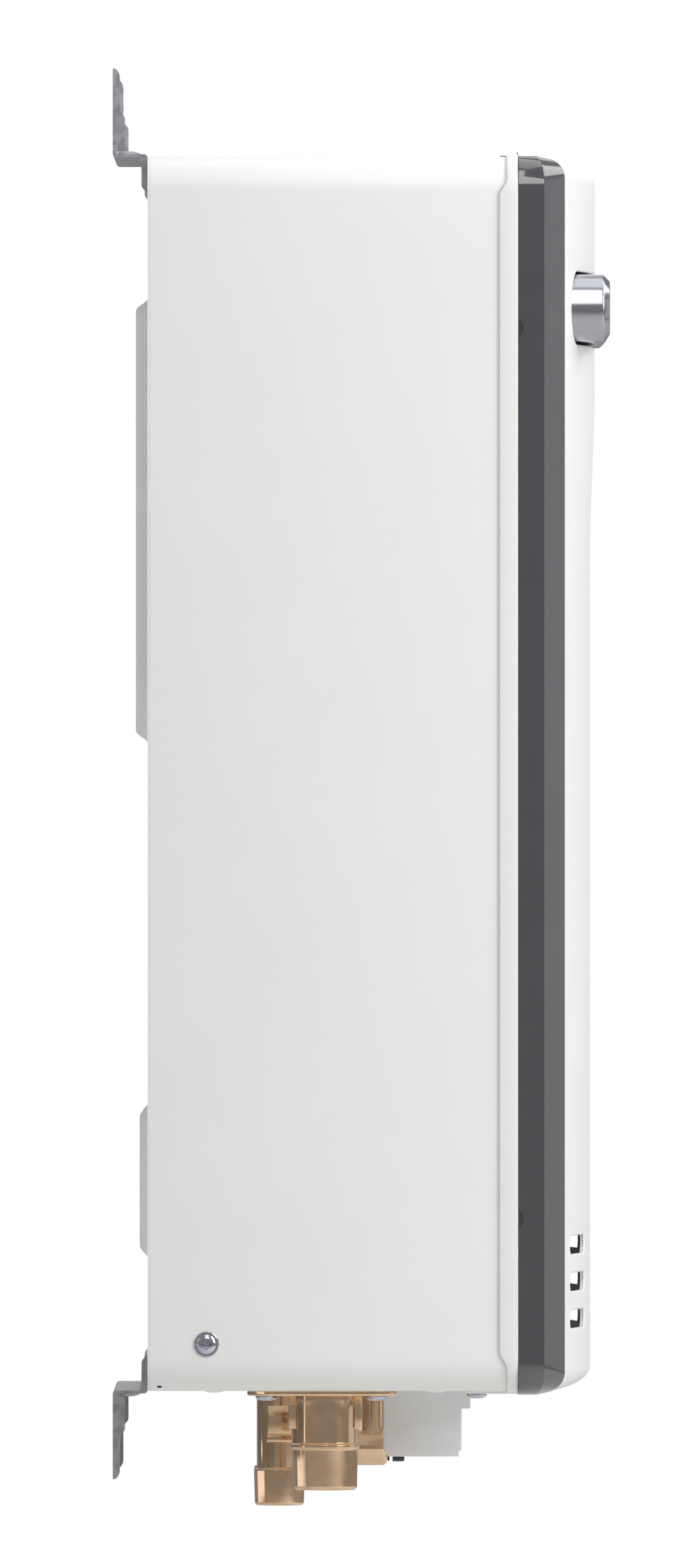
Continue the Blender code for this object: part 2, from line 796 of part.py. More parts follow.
def trim_outline():
    return rounded(TRIM_HALF, MID_Z - TRIM_BOTTOM, MID_Z + TRIM_TOP, TRIM_CORNER, TOP_ARCH, BOTTOM_ARCH, 6)


def lip_outline(inset):
    """The front edge of the trim: set in at the sides by the chamfer, and hardly at the top and bottom."""
    edge_drop, edge_lift = 0.0020, 0.0014
    low, high = MID_Z - TRIM_BOTTOM + edge_lift + inset, MID_Z + TRIM_TOP - edge_drop - inset
    return rounded(LIP_HALF - inset, low, high, DOME_CORNER - inset, TOP_ARCH, BOTTOM_ARCH, 6)


def make_trim_frame():
    """A moulded frame round the cover, chamfered, its sides hollow from the back, with two notches a side."""
    wall, inner_wall = 0.0022, 0.0020
    notch_in, notch_half, notch_depth = 0.09365, 0.0053, 0.0027
    notch_rise = CASE_HEIGHT / 2 - notch_in
    outer, lip, bore = trim_outline(), lip_outline(0), lip_outline(TRIM_LIP)
    rings = [at_y(outer, TRIM_BACK), at_y(outer, TRIM_MID), at_y(lip, TRIM_FRONT)]
    rings += [at_y(bore, TRIM_FRONT), at_y(bore, TRIM_BACK)]
    trim = loft("trim", rings, hollow=True)
    radius = (notch_half**2 + notch_depth**2) / (2 * notch_depth)
    pocket_low, pocket_high = MID_Z - TRIM_BOTTOM + 2 * TRIM_CORNER, MID_Z + TRIM_TOP - 2 * TRIM_CORNER
    for side in (-1, 1):
        pocket = [
            (side * (TRIM_HALF - wall), TRIM_BACK + OVERRUN),
            (side * (TRIM_HALF - wall), TRIM_MID + wall / 2),
            (side * (LIP_HALF + inner_wall), TRIM_FRONT + 2 * wall),
            (side * (LIP_HALF + inner_wall), TRIM_BACK + OVERRUN),
        ]
        cut(trim, prism("pocket", pocket, "Z", pocket_low, pocket_high))
        ends = (side * (TRIM_HALF - 2 * wall), side * (TRIM_HALF + OVERRUN))
        for rise in (-notch_rise, notch_rise):
            centre = (TRIM_BACK + radius - notch_depth, MID_Z + rise)
            cut(trim, rod("notch", centre, radius, "X", *ends))
    return finish(trim, "trim_frame", dark_trim())


def dome_rise(z):
    """How far the crown stands ahead of the trim: deeper round the exhaust outlet than below it."""
    share = min(max((z - MID_Z - EASE_LOW) / (EASE_HIGH - EASE_LOW), 0.0), 1.0)
    return DOME_RISE_LOW + (DOME_RISE_TOP - DOME_RISE_LOW) * share * share * (3 - 2 * share)


def dome_body(name, inset, drop, back):
    """A solid pillow: parabolic across, with elliptical edges at the top and bottom."""
    column_shares = [math.sin(math.pi / 2 * i / COLUMN_STEPS) for i in range(-COLUMN_STEPS, COLUMN_STEPS + 1)]
    edge_shares = (0.0, 0.08, 0.35, 1.0)
    half = LIP_HALF - TRIM_LIP - GAP - inset
    outline = lip_outline(TRIM_LIP + GAP + inset)
    low, high = min(z for x, z in outline), max(z for x, z in outline)
    top, bottom = high - TOP_ARCH, low + BOTTOM_ARCH
    levels = [bottom + DOME_EDGE * share for share in edge_shares]
    levels += [MID_Z + EASE_LOW + (EASE_HIGH - EASE_LOW) * i / EASE_STEPS for i in range(EASE_STEPS + 1)]
    levels += [top - DOME_EDGE * share for share in reversed(edge_shares)]
    points, faces = [], []
    for level in levels:
        for column in column_shares:
            x = column * half
            bow = 1 - column * column
            near_edge = min(level - bottom, top - level) / DOME_EDGE
            rounding = math.sqrt(max(0.0, 1 - (1 - min(near_edge, 1.0)) ** 2))
            toward = (level - bottom) / (top - bottom)
            z = level + bow * (TOP_ARCH * toward**8 - BOTTOM_ARCH * (1 - toward) ** 8)
            points.append((x, TRIM_FRONT + drop - dome_rise(level) * bow * rounding, z))
    across, rows = len(column_shares), len(levels)
    base = len(points)
    points += [(x, back, z) for x, y, z in points]
    for r in range(rows - 1):
        for c in range(across - 1):
            a = r * across + c
            quad = (a, a + 1, a + across + 1, a + across)
            faces.append(quad)
            faces.append(tuple(base + i for i in reversed(quad)))
    rim = [c for c in range(across)]
    rim += [r * across + across - 1 for r in range(1, rows)]
    rim += [(rows - 1) * across + c for c in range(across - 2, -1, -1)]
    rim += [r * across for r in range(rows - 2, 0, -1)]
    for here, after in zip(rim, rim[1:] + rim[:1]):
        faces.append((here, base + here, base + after, after))
    body = mesh_object(name, points, faces)
    low_y, high_y = TRIM_FRONT - 2 * DOME_RISE_TOP, back + OVERRUN
    return boolean(body, "INTERSECT", [prism("rim", outline, "Y", low_y, high_y)])


def make_cover_panel():
    """The domed front with its return flange, the exhaust opening and two groups of three air slots."""
    slot_in, slot_length, slot_half, slot_count = 0.0191, 0.0655, 0.0050, 3
    slot_rise, slot_pitch = 0.03905, 0.0202
    slot_outer = LIP_HALF - slot_in
    slot_inner = slot_outer - slot_length
    back = SKIRT_FRONT - GAP
    panel = dome_body("panel", 0, 0, back)
    cut(panel, dome_body("hollow", DOME_SHEET, DOME_SHEET, back + OVERRUN))
    far = TRIM_FRONT - 2 * DOME_RISE_TOP
    clear = OUTLET_CLEARANCE
    opening = stadium(OUTLET_WIDTH / 2 + clear, OUTLET_HEIGHT / 2 + clear, MID_Z + OUTLET_RISE)
    cut(panel, prism("opening", opening, "Y", far, back))
    middle, half = (slot_inner + slot_outer) / 2, (slot_outer - slot_inner) / 2
    for side in (-1, 1):
        for i in range(slot_count):
            level = BOTTOM_Z + slot_rise + slot_pitch * i
            slot = [(side * middle + x, z) for x, z in stadium(half, slot_half, level, 4)]
            cut(panel, prism("slot", slot, "Y", far, back))
    return finish(panel, "cover_panel", white_paint())


# Exhaust

def make_exhaust_outlet():
    """A flat stainless tube with round ends, a rolled lip and a bolting flange at the back."""
    lip_start, lip_mid, lip_in, lip_edge = 0.0044, 0.0014, 0.0010, 0.0032
    lip_return, flange_edge, flange_rise = 0.0048, 0.007, 0.030
    back = GROUP_Y - JACKET_DEPTH / 2 - GAP
    front = -OUTLET_REACH
    half, height, level = OUTLET_WIDTH / 2, OUTLET_HEIGHT / 2, MID_Z + OUTLET_RISE

    def ring(y, inset):
        return at_y(stadium(half - inset, height - inset, level), y)

    rings = [
        ring(back, 0),
        ring(front + lip_start, 0),
        ring(front + lip_mid, lip_in),
        ring(front, lip_edge),
        ring(front, lip_return),
        ring(front + lip_mid, lip_return),
        ring(front + lip_start, OUTLET_SHEET),
        ring(back, OUTLET_SHEET),
    ]
    outlet = loft("outlet", rings, hollow=True)
    plate = rounded(half + flange_edge, level - flange_rise, level + flange_rise, flange_edge)
    flange = prism("flange", plate, "Y", back, back - OUTLET_SHEET)
    cutter = stadium(half - OUTLET_SHEET / 2, height - OUTLET_SHEET / 2, level)
    cut(flange, prism("bore", cutter, "Y", back - OVERRUN, back + OVERRUN))
    return finish(fuse(outlet, flange), "exhaust_outlet", stainless())


def make_exhaust_guard():
    """Two rails and upright vanes that keep birds out of the outlet."""
    vane_count, vane_half, vane_depth, set_back = 9, 0.0006, 0.014, 0.014
    rail_in, rail_thickness = 0.026, 0.0016
    rail_half = OUTLET_WIDTH / 2 - rail_in
    front = set_back - OUTLET_REACH
    back = front + vane_depth
    inner = OUTLET_HEIGHT / 2 - OUTLET_SHEET - GAP
    level = MID_Z + OUTLET_RISE
    guard = None
    for side in (-1, 1):
        edges = sorted((level + side * inner, level + side * (inner - rail_thickness)))
        rail = box("rail", (-rail_half, back, edges[0]), (rail_half, front, edges[1]))
        guard = fuse(guard, rail) if guard else rail
        if side < 0:
            for i in range(vane_count):
                x = (rail_half - 2 * vane_half) * (2 * i / (vane_count - 1) - 1)
                low = (x - vane_half, back, level - inner + rail_thickness / 2)
                high = (x + vane_half, front, level + inner - rail_thickness / 2)
                fuse(guard, box("vane", low, high))
    return finish(guard, "exhaust_guard", stainless())


def make_flue_box():
    """The hood that collects the exhaust, open below and at the front, with a sloped back."""
    sheet, slope_rise, slope_run = 0.0012, 0.035, 0.040
    back, front = GROUP_Y + JACKET_DEPTH / 2, GROUP_Y - JACKET_DEPTH / 2
    low, high = MID_Z + JACKET_HIGH + GAP, MID_Z + FLUE_TOP
    half, inner_half = FLUE_WIDTH / 2, JACKET_WIDTH / 2 - JACKET_SHEET

    def section(inset, base):
        return [
            (back - inset, base),
            (front + inset, base),
            (front + inset, high - inset),
            (back - slope_run, high - inset),
            (back - inset, high - slope_rise),
        ]

    hood = prism("hood", section(0, low), "X", -half, half)
    cut(hood, prism("hollow", section(sheet, low + sheet), "X", sheet - half, half - sheet))
    mouth_back, mouth_front = back - JACKET_SHEET, front + JACKET_SHEET
    cut(hood, box("mouth", (-inner_half, mouth_front, low - OVERRUN), (inner_half, mouth_back, low + OVERRUN)))
    level = MID_Z + OUTLET_RISE
    opening = stadium(OUTLET_WIDTH / 2 - OUTLET_SHEET, OUTLET_HEIGHT / 2 - OUTLET_SHEET, level)
    cut(hood, prism("opening", opening, "Y", front - OVERRUN, front + OVERRUN))
    return finish(hood, "flue_box", stainless())


# Heat exchanger

def group_outline(half_width, half_depth, corner):
    """A rounded rectangle seen from above, about the middle of the combustion group."""
    return [(x, GROUP_Y + y) for x, y in rounded(half_width, -half_depth, half_depth, corner)]


def at_z(outline, z):
    return [(x, y, z) for x, y in outline]


def tube_places():
    first = GROUP_Y + TUBE_PITCH * (TUBE_COUNT - 1) / 2
    return [first - TUBE_PITCH * i for i in range(TUBE_COUNT)]


def make_jacket():
    """The copper sleeve round the fins and the flame, with a flange at each end."""
    corner = 0.010
    half, depth, sheet = JACKET_WIDTH / 2, JACKET_DEPTH / 2, JACKET_SHEET
    low, high = MID_Z + JACKET_LOW, MID_Z + JACKET_HIGH
    wall = group_outline(half, depth, corner)
    bore = group_outline(half - sheet, depth - sheet, corner - sheet)
    edge = group_outline(half + JACKET_FLANGE, depth + JACKET_FLANGE, corner)
    top_edge = group_outline(half + JACKET_FLANGE, depth + 2 * sheet, corner)
    rings = [
        at_z(bore, low),
        at_z(edge, low),
        at_z(edge, low + sheet),
        at_z(wall, low + sheet),
        at_z(wall, high - sheet),
        at_z(top_edge, high - sheet),
        at_z(top_edge, high),
        at_z(bore, high),
    ]
    jacket = loft("jacket", rings, hollow=True)
    for y in tube_places():
        reach = half + OVERRUN
        cut(jacket, rod("hole", (y, MID_Z + TUBE_RISE), TUBE_RADIUS + GAP, "X", -reach, reach, 8))
    return finish(jacket, "heat_exchanger_jacket", copper())


def make_core():
    """Copper fins on four tubes that join in bends outside the jacket: one water path from front to back."""
    fin_reach, fin_sheet, fin_in = 0.028, 0.0010, 0.012
    notch_half, notch_depth = 0.005, 0.010
    fin_half, first_fin = JACKET_DEPTH / 2 - FIN_ROOM, JACKET_WIDTH / 2 - fin_in
    fin_low, fin_high = TUBE_RISE - fin_reach, TUBE_RISE + fin_reach
    places = tube_places()
    level = MID_Z + TUBE_RISE
    end = JACKET_WIDTH / 2 + TUBE_STUB
    core = None
    path = [(end, places[-1], level)]
    for i, y in enumerate(reversed(places)):
        side = -1 if i % 2 == 0 else 1
        path.append((side * (end + TUBE_PITCH / 2), y, level))
        if i + 1 < len(places):
            path.append((side * (end + TUBE_PITCH / 2), y + TUBE_PITCH, level))
    path[-1] = (end, places[0], level)
    core = pipe("core", bent(path, TUBE_PITCH / 2 - GAP / 10), TUBE_RADIUS)

    def fin_outline():
        """A plate whose lower edge is cut back between the tubes, where the gas turns in."""
        points = [(GROUP_Y + fin_half, MID_Z + fin_high), (GROUP_Y - fin_half, MID_Z + fin_high)]
        points.append((GROUP_Y - fin_half, MID_Z + fin_low))
        for k in range(1 - TUBE_COUNT // 2, TUBE_COUNT // 2):
            y = GROUP_Y + k * TUBE_PITCH
            points.append((y - notch_half, MID_Z + fin_low))
            points.append((y, MID_Z + fin_low + notch_depth))
            points.append((y + notch_half, MID_Z + fin_low))
        points.append((GROUP_Y + fin_half, MID_Z + fin_low))
        return points

    outline = fin_outline()
    fins = []
    for i in range(FIN_COUNT):
        x = first_fin * (2 * i / (FIN_COUNT - 1) - 1)
        fins.append(prism("fin", outline, "X", x - fin_sheet / 2, x + fin_sheet / 2))
    fuse(core, joined(fins))
    return finish(core, "heat_exchanger_core", copper())


def make_coil():
    """The pipe wound round the jacket: it takes the cold water up to the first tube of the core."""
    corner, link_out, link_back = 0.016, 0.032, 0.031
    link_x, link_y = JACKET_WIDTH / 2 + link_out, tube_places()[-1] + link_back
    reach_x = JACKET_WIDTH / 2 + GAP + COIL_RADIUS
    reach_y = JACKET_DEPTH / 2 + GAP + COIL_RADIUS
    front_tube = tube_places()[-1]
    level = MID_Z + COIL_LOW
    corners = ((-reach_x, -reach_y), (-reach_x, reach_y), (reach_x, reach_y), (reach_x, -reach_y))
    path = [(RISER_X, front_tube, level - COIL_DROP), (RISER_X, front_tube, level)]
    path.append((RISER_X, GROUP_Y - reach_y, level))
    for turn in range(COIL_TURNS):
        for i, (x, y) in enumerate(corners):
            if turn == COIL_TURNS - 1 and i == len(corners) - 1:
                break
            path.append((x, GROUP_Y + y, level + COIL_PITCH * (turn + (i + 1) / len(corners))))
    top = level + COIL_PITCH * COIL_TURNS
    path.append((reach_x, link_y, top))
    path.append((link_x, front_tube, top))
    path.append((link_x, front_tube, MID_Z + TUBE_RISE))
    path.append((JACKET_WIDTH / 2 + TUBE_STUB + GAP, front_tube, MID_Z + TUBE_RISE))
    return finish(pipe("coil", bent(path, corner / 2 + GAP, 2), COIL_RADIUS), "jacket_coil", copper())


# Burner and gas train

def make_burner_box():
    """An open bowl of sheet under the jacket, with the air inlet below and the nozzle slot in front."""
    corner, sheet, flange = 0.008, JACKET_SHEET, 0.007
    slot_in, slot_height, rod_hole = 0.016, 0.007, 0.0033
    slot_half = BURNER_BOX_WIDTH / 2 - slot_in
    half, depth = BURNER_BOX_WIDTH / 2, BURNER_BOX_DEPTH / 2
    low, high = MID_Z + BURNER_BOX_LOW, MID_Z + JACKET_LOW - GAP
    wall = group_outline(half, depth, corner)
    bore = group_outline(half - sheet, depth - sheet, corner - sheet)
    edge = group_outline(half + flange, depth + flange, corner)
    rings = [
        at_z(wall, low),
        at_z(wall, high - sheet),
        at_z(edge, high - sheet),
        at_z(edge, high),
        at_z(bore, high),
        at_z(bore, low + sheet),
    ]
    bowl = loft("bowl", rings)
    duct_high = BLOWER_X + SCROLL_START + SCROLL_GROWTH
    back, front = BLOWER_WALL - BLOWER_BACK - 2 * BLOWER_WALL, BLOWER_WALL - BLOWER_BACK - BLOWER_DEPTH
    cut(bowl, box("air", (duct_high - SCROLL_DUCT, front, low - OVERRUN), (duct_high, back, low + OVERRUN)))
    face = GROUP_Y - depth
    nozzle = MID_Z + MANIFOLD_RISE
    slot_low = (-slot_half, face - OVERRUN, nozzle - slot_height)
    cut(bowl, box("slot", slot_low, (slot_half, face + OVERRUN, nozzle + slot_height)))
    for x in (ELECTRODE_X, FLAME_ROD_X):
        cut(bowl, rod("hole", (x, MID_Z + ROD_RISE), rod_hole, "Y", face - OVERRUN, face + OVERRUN, 10))
    return finish(bowl, "burner_box", stainless())


def make_burner_bars():
    """Flat burners side by side on two rails, each with a throat in front and flame ports along its top."""
    depth_in, low_in, high_in, half_width = 0.012, 0.010, 0.038, 0.0045
    throat_height, neck_in, neck_low_rise, neck_high_rise = 0.020, 0.012, 0.024, 0.052
    half_depth = BURNER_BOX_DEPTH / 2 - depth_in
    low, high = BURNER_BOX_LOW + low_in, JACKET_LOW - high_in
    neck_low, neck_high = low + neck_low_rise, low + neck_high_rise
    port_half, port_depth, port_count = 0.006, 0.006, 3
    throat_radius, throat_depth, rail_half, rail_height, rail_in = 0.0035, 0.018, 0.004, 0.005, 0.014
    back, front = GROUP_Y + half_depth, GROUP_Y - half_depth
    outline = [(back, low), (front, low), (front, low + throat_height)]
    outline += [(front + neck_in, neck_low), (front + neck_in, neck_high)]
    outline += [(front, neck_high + neck_in), (front, high)]
    for i in range(port_count):
        y = front + 2 * half_depth * (i + 0.5) / port_count
        outline += [(y - port_half, high), (y - port_half, high - port_depth)]
        outline += [(y + port_half, high - port_depth), (y + port_half, high)]
    outline += [(back, high), (back, neck_high + neck_in)]
    outline += [(back - neck_in, neck_high), (back - neck_in, neck_low)]
    outline += [(back, neck_low - neck_in / 2)]
    outline = [(y, MID_Z + z) for y, z in outline]
    bars, throats = [], []
    for i in range(BURNER_COUNT):
        x = BURNER_PITCH * (i - (BURNER_COUNT - 1) / 2)
        bars.append(prism("bar", outline, "X", x - half_width, x + half_width))
        centre = (x, MID_Z + MANIFOLD_RISE)
        throats.append(rod("throat", centre, throat_radius, "Y", front - OVERRUN, front + throat_depth, 6))
    reach = BURNER_BOX_WIDTH / 2 - JACKET_SHEET - GAP
    rails = []
    for y in (front + rail_in, back - rail_in):
        top = MID_Z + low + rail_height / 2
        rails.append(box("rail", (-reach, y - rail_half, top - rail_height), (reach, y + rail_half, top)))
    burners = joined(rails)
    fuse(burners, joined(bars))
    cut(burners, joined(throats))
    return finish(burners, "burner_bars", stainless())


def make_manifold():
    """The gas rail in front of the burners, with one nozzle for each."""
    half, depth, height, ear = MANIFOLD_HALF, MANIFOLD_DEPTH, 0.0080, 0.008
    nozzle_root, nozzle_tip, nozzle_end = 0.0040, 0.0022, 0.0103
    wall = GROUP_Y - BURNER_BOX_DEPTH / 2
    back = wall - MANIFOLD_STAND
    level = MID_Z + MANIFOLD_RISE
    bar = box("bar", (-half, back - depth, level - height), (half, back, level + height))
    bevelled(bar, nozzle_tip, 2)
    ears = [
        box("ear", (min(s * half, s * (half - ear)), back - depth / 4, level - height / 2),
            (max(s * half, s * (half - ear)), wall - GAP, level + height / 2))
        for s in (-1, 1)
    ]
    fuse(bar, joined(ears))
    nozzles = []
    for i in range(BURNER_COUNT):
        x = BURNER_PITCH * (i - (BURNER_COUNT - 1) / 2)
        profile = [(nozzle_root, back - nozzle_root), (nozzle_root, back + nozzle_root / 2)]
        profile += [(nozzle_tip, back + nozzle_end)]
        nozzles.append(turned("nozzle", profile, (x, level), "Y", 6))
    return finish(fuse(bar, joined(nozzles)), "gas_manifold", brass())


def make_gas_pipe():
    """From the gas valve up past the blower and round to the end of the manifold."""
    radius, swing_out, rise_drop, swing_drop = 0.007, 0.022, 0.035, 0.016
    rise_to, swing_to = BURNER_BOX_LOW - rise_drop, BURNER_BOX_LOW - swing_drop
    swing_x = -MANIFOLD_HALF - swing_out
    manifold_y = GROUP_Y - BURNER_BOX_DEPTH / 2 - MANIFOLD_STAND - MANIFOLD_DEPTH / 2
    start = BOTTOM_Z + VALVE_HIGH + VALVE_BOSS + GAP
    path = [
        (VALVE_OUT_X, VALVE_OUT_Y, start),
        (VALVE_OUT_X, VALVE_OUT_Y, MID_Z + rise_to),
        (swing_x, manifold_y, MID_Z + swing_to),
        (swing_x, manifold_y, MID_Z + MANIFOLD_RISE),
        (-MANIFOLD_HALF - GAP, manifold_y, MID_Z + MANIFOLD_RISE),
    ]
    return finish(pipe("gas_pipe", bent(path, PIPE_BEND), radius), "gas_pipe", stainless())


def make_gas_valve_body():
    """A cast block on top of the gas fitting, with bosses for the pipe and the two coils."""
    half_x, half_y, edge, boss, coil_boss = 0.034, VALVE_DEPTH / 2, 0.005, 0.012, 0.017
    low, high = BOTTOM_Z + VALVE_LOW, BOTTOM_Z + VALVE_HIGH
    front = GAS_Y - half_y
    body = box("body", (GAS_X - half_x, front, low), (GAS_X + half_x, GAS_Y + half_y, high))
    bevelled(body, edge, 2)
    fuse(body, rod("boss", (VALVE_OUT_X, VALVE_OUT_Y), boss, "Z", high - edge, high + VALVE_BOSS))
    for x in (MAIN_COIL_X, MODULATING_COIL_X):
        centre = (x, BOTTOM_Z + VALVE_COIL_RISE)
        fuse(body, rod("boss", centre, coil_boss, "Y", front + edge, COIL_BACK + GAP))
    return finish(body, "gas_valve_body", cast_aluminium())


def make_valve_coil(name, x, radius, length):
    """A wound coil between two cheeks, with a blind bore for its plunger."""
    cheek, waist = 0.0035, 0.0025
    end = COIL_BACK - length
    profile = [
        (radius, COIL_BACK),
        (radius, COIL_BACK - cheek),
        (radius - waist, COIL_BACK - cheek),
        (radius - waist, end + cheek),
        (radius, end + cheek),
        (radius, end),
    ]
    centre = (x, BOTTOM_Z + VALVE_COIL_RISE)
    coil = turned("coil", profile, centre, "Y", 14)
    bore_end = COIL_BACK - PLUNGER_LENGTH - PLUNGER_TRAVEL - 3 * GAP
    cut(coil, rod("bore", centre, PLUNGER_RADIUS + GAP, "Y", COIL_BACK + OVERRUN, bore_end, 10))
    return finish(coil, name, black_plastic())


def make_plunger(name, x):
    """The iron armature that the coil draws forwards off the valve seat."""
    edge = 0.0010
    back, front = COIL_BACK, COIL_BACK - PLUNGER_LENGTH
    profile = [(PLUNGER_RADIUS - edge, back), (PLUNGER_RADIUS, back - edge), (PLUNGER_RADIUS, front)]
    centre = (x, BOTTOM_Z + VALVE_COIL_RISE)
    plunger = turned("plunger", profile, centre, "Y", 10)
    return finish(plunger, name, zinc_sheet(), (x, back, BOTTOM_Z + VALVE_COIL_RISE))


# Blower

def scroll_outline(offset, top):
    """A spiral that widens from the tongue round to the outlet duct, which points up."""
    steps = 20
    widest = SCROLL_START + SCROLL_GROWTH
    inner = widest - SCROLL_DUCT - offset
    first = math.acos(inner / (SCROLL_START + offset))
    points = []
    for i in range(steps + 1):
        share = i / steps
        angle = first + (math.tau - first) * share
        radius = SCROLL_START + SCROLL_GROWTH * share + offset
        points.append((BLOWER_X + radius * math.cos(angle), MID_Z + BLOWER_RISE + radius * math.sin(angle)))
    points.append((BLOWER_X + widest + offset, top))
    points.append((BLOWER_X + inner, top))
    return points


def make_blower_housing():
    """The snail shell under the burner box, with a round inlet in front and a flange on its duct."""
    inlet_in, mouth_sheet, mouth_depth, flange, flange_height = 0.014, 0.006, 0.004, 0.008, 0.003
    inlet = IMPELLER_RADIUS - inlet_in
    mouth = inlet + mouth_sheet
    back, front = -BLOWER_BACK, -BLOWER_BACK - BLOWER_DEPTH
    top = MID_Z + BURNER_BOX_LOW - GAP
    centre = (BLOWER_X, MID_Z + BLOWER_RISE)
    shell = prism("shell", scroll_outline(BLOWER_WALL, top), "Y", back, front)
    duct_high = BLOWER_X + SCROLL_START + SCROLL_GROWTH
    low = (duct_high - SCROLL_DUCT - flange, front - flange / 2, top - flange_height)
    fuse(shell, box("flange", low, (duct_high + flange, back + flange / 2, top)))
    fuse(shell, rod("mouth", centre, mouth, "Y", front + BLOWER_WALL / 2, front - mouth_depth))
    cavity = prism("cavity", scroll_outline(0, top + OVERRUN), "Y", back - BLOWER_WALL, front + BLOWER_WALL)
    cut(shell, cavity)
    cut(shell, rod("inlet", centre, inlet, "Y", front + OVERRUN, front - 2 * mouth_depth))
    cut(shell, rod("shaft", centre, SHAFT_RADIUS + 2 * GAP, "Y", back + OVERRUN, back - OVERRUN, 10))
    return finish(shell, "blower_housing", cast_aluminium())


def make_impeller():
    """A squirrel cage: forward curved blades between a back plate with a hub and a front ring."""
    plate, hub, hub_length, ring_width, blade_width = 0.0016, 0.009, 0.016, 0.009, 0.0115
    blade_sheet, lean, back_gap, front_gap = 0.0010, 0.16, 0.0030, 0.0060
    back = -BLOWER_BACK - BLOWER_WALL - back_gap
    front = -BLOWER_BACK - BLOWER_DEPTH + BLOWER_WALL + front_gap
    centre = (BLOWER_X, MID_Z + BLOWER_RISE)
    outer = IMPELLER_RADIUS
    ring_in, blade_in = outer - ring_width, outer - blade_width
    blade_shares = (0.0, 0.5, 1.0)

    def blade(start):
        """Two arcs a blade's thickness apart, leaning forwards as they go out."""
        sides = []
        for side in (-1, 1):
            points = []
            for share in blade_shares:
                radius = blade_in + (outer - blade_in) * share
                angle = start + lean * share * share + side * blade_sheet / 2 / radius
                points.append((centre[0] + radius * math.cos(angle), centre[1] + radius * math.sin(angle)))
            sides.append(points)
        return sides[0] + sides[1][::-1]

    wheel = rod("wheel", centre, outer, "Y", back, back - plate, 24)
    fuse(wheel, rod("hub", centre, hub, "Y", back - plate / 2, back - hub_length, 12))
    edge = [(outer, front + plate), (outer, front), (ring_in, front), (ring_in, front + plate)]
    ring = turned("ring", edge, centre, "Y", 24, hollow=True)
    blades = []
    for i in range(IMPELLER_BLADES):
        outline = blade(math.tau * i / IMPELLER_BLADES)
        blades.append(prism("blade", outline, "Y", back - plate / 2, front + plate / 2))
    fuse(wheel, joined(blades))
    fuse(wheel, ring)
    cut(wheel, rod("bore", centre, SHAFT_RADIUS + GAP, "Y", back + OVERRUN, back - hub_length - OVERRUN, 10))
    return finish(wheel, "blower_impeller", zinc_sheet(), (centre[0], back, centre[1]))


def make_shaft():
    """The motor's shaft, with the nut that holds the impeller's hub."""
    tail, nose, nut, nut_height, hub_end = 0.014, 0.006, 0.0070, 0.004, 0.0214
    back = -BLOWER_BACK + tail
    seat = -BLOWER_BACK - hub_end - GAP
    centre = (BLOWER_X, MID_Z + BLOWER_RISE)
    shaft = rod("shaft", centre, SHAFT_RADIUS, "Y", back, seat - nose, 10)
    fuse(shaft, rod("nut", centre, nut, "Y", seat, seat - nut_height, 6))
    return finish(shaft, "blower_shaft", zinc_sheet(), (centre[0], back, centre[1]))


def make_motor():
    """The fan motor on the back of the housing."""
    radius, length, shoulder, cap, bore = 0.033, 0.036, 0.0050, 0.022, 0.0150
    front = -BLOWER_BACK + GAP
    profile = [
        (radius + shoulder, front),
        (radius + shoulder, front + shoulder / 2),
        (radius, front + shoulder / 2),
        (radius, front + length - shoulder),
        (radius - shoulder, front + length - shoulder / 4),
        (cap, front + length),
    ]
    centre = (BLOWER_X, MID_Z + BLOWER_RISE)
    motor = turned("motor", profile, centre, "Y")
    cut(motor, rod("bore", centre, SHAFT_RADIUS + GAP, "Y", front - OVERRUN, front + bore, 10))
    return finish(motor, "blower_motor", black_plastic())


# Ignition and safety

def make_igniter():
    """The spark box on the front of the burner box, with two ears and its lead socket."""
    x, half, lift, height, depth, edge = 0.080, 0.020, 0.042, 0.042, 0.020, 0.002
    low = BURNER_BOX_LOW + lift
    high = low + height
    ear, ear_sheet, socket = 0.008, 0.002, 0.005
    back = GROUP_Y - BURNER_BOX_DEPTH / 2 - GAP
    body = box("body", (x - half, back - depth, MID_Z + low), (x + half, back, MID_Z + high))
    bevelled(body, edge)
    ears_low = (x - half - ear, back - ear_sheet, MID_Z + low + ear)
    fuse(body, box("ears", ears_low, (x + half + ear, back, MID_Z + low + 2 * ear)))
    middle = (x - half / 2, back - depth / 2)
    fuse(body, rod("socket", middle, socket, "Z", MID_Z + high - edge, MID_Z + high + socket, 10))
    return finish(body, "igniter", black_plastic())


def make_probe(name, x, reach):
    """A ceramic rod with a collar on the front of the burner box and a wire over the burners."""
    wire, body, collar, collar_depth, tail, tip = 0.0012, 0.0030, 0.0070, 0.0030, 0.014, 0.016
    wall = GROUP_Y - BURNER_BOX_DEPTH / 2 - GAP
    profile = [
        (wire, wall + reach),
        (wire, wall + reach - tip),
        (body, wall + reach - tip),
        (body, wall),
        (collar, wall),
        (collar, wall - collar_depth),
        (body, wall - collar_depth),
        (body, wall - tail),
        (wire, wall - tail - body),
    ]
    return finish(turned("probe", profile, (x, MID_Z + ROD_RISE), "Y", 8), name, ceramic())


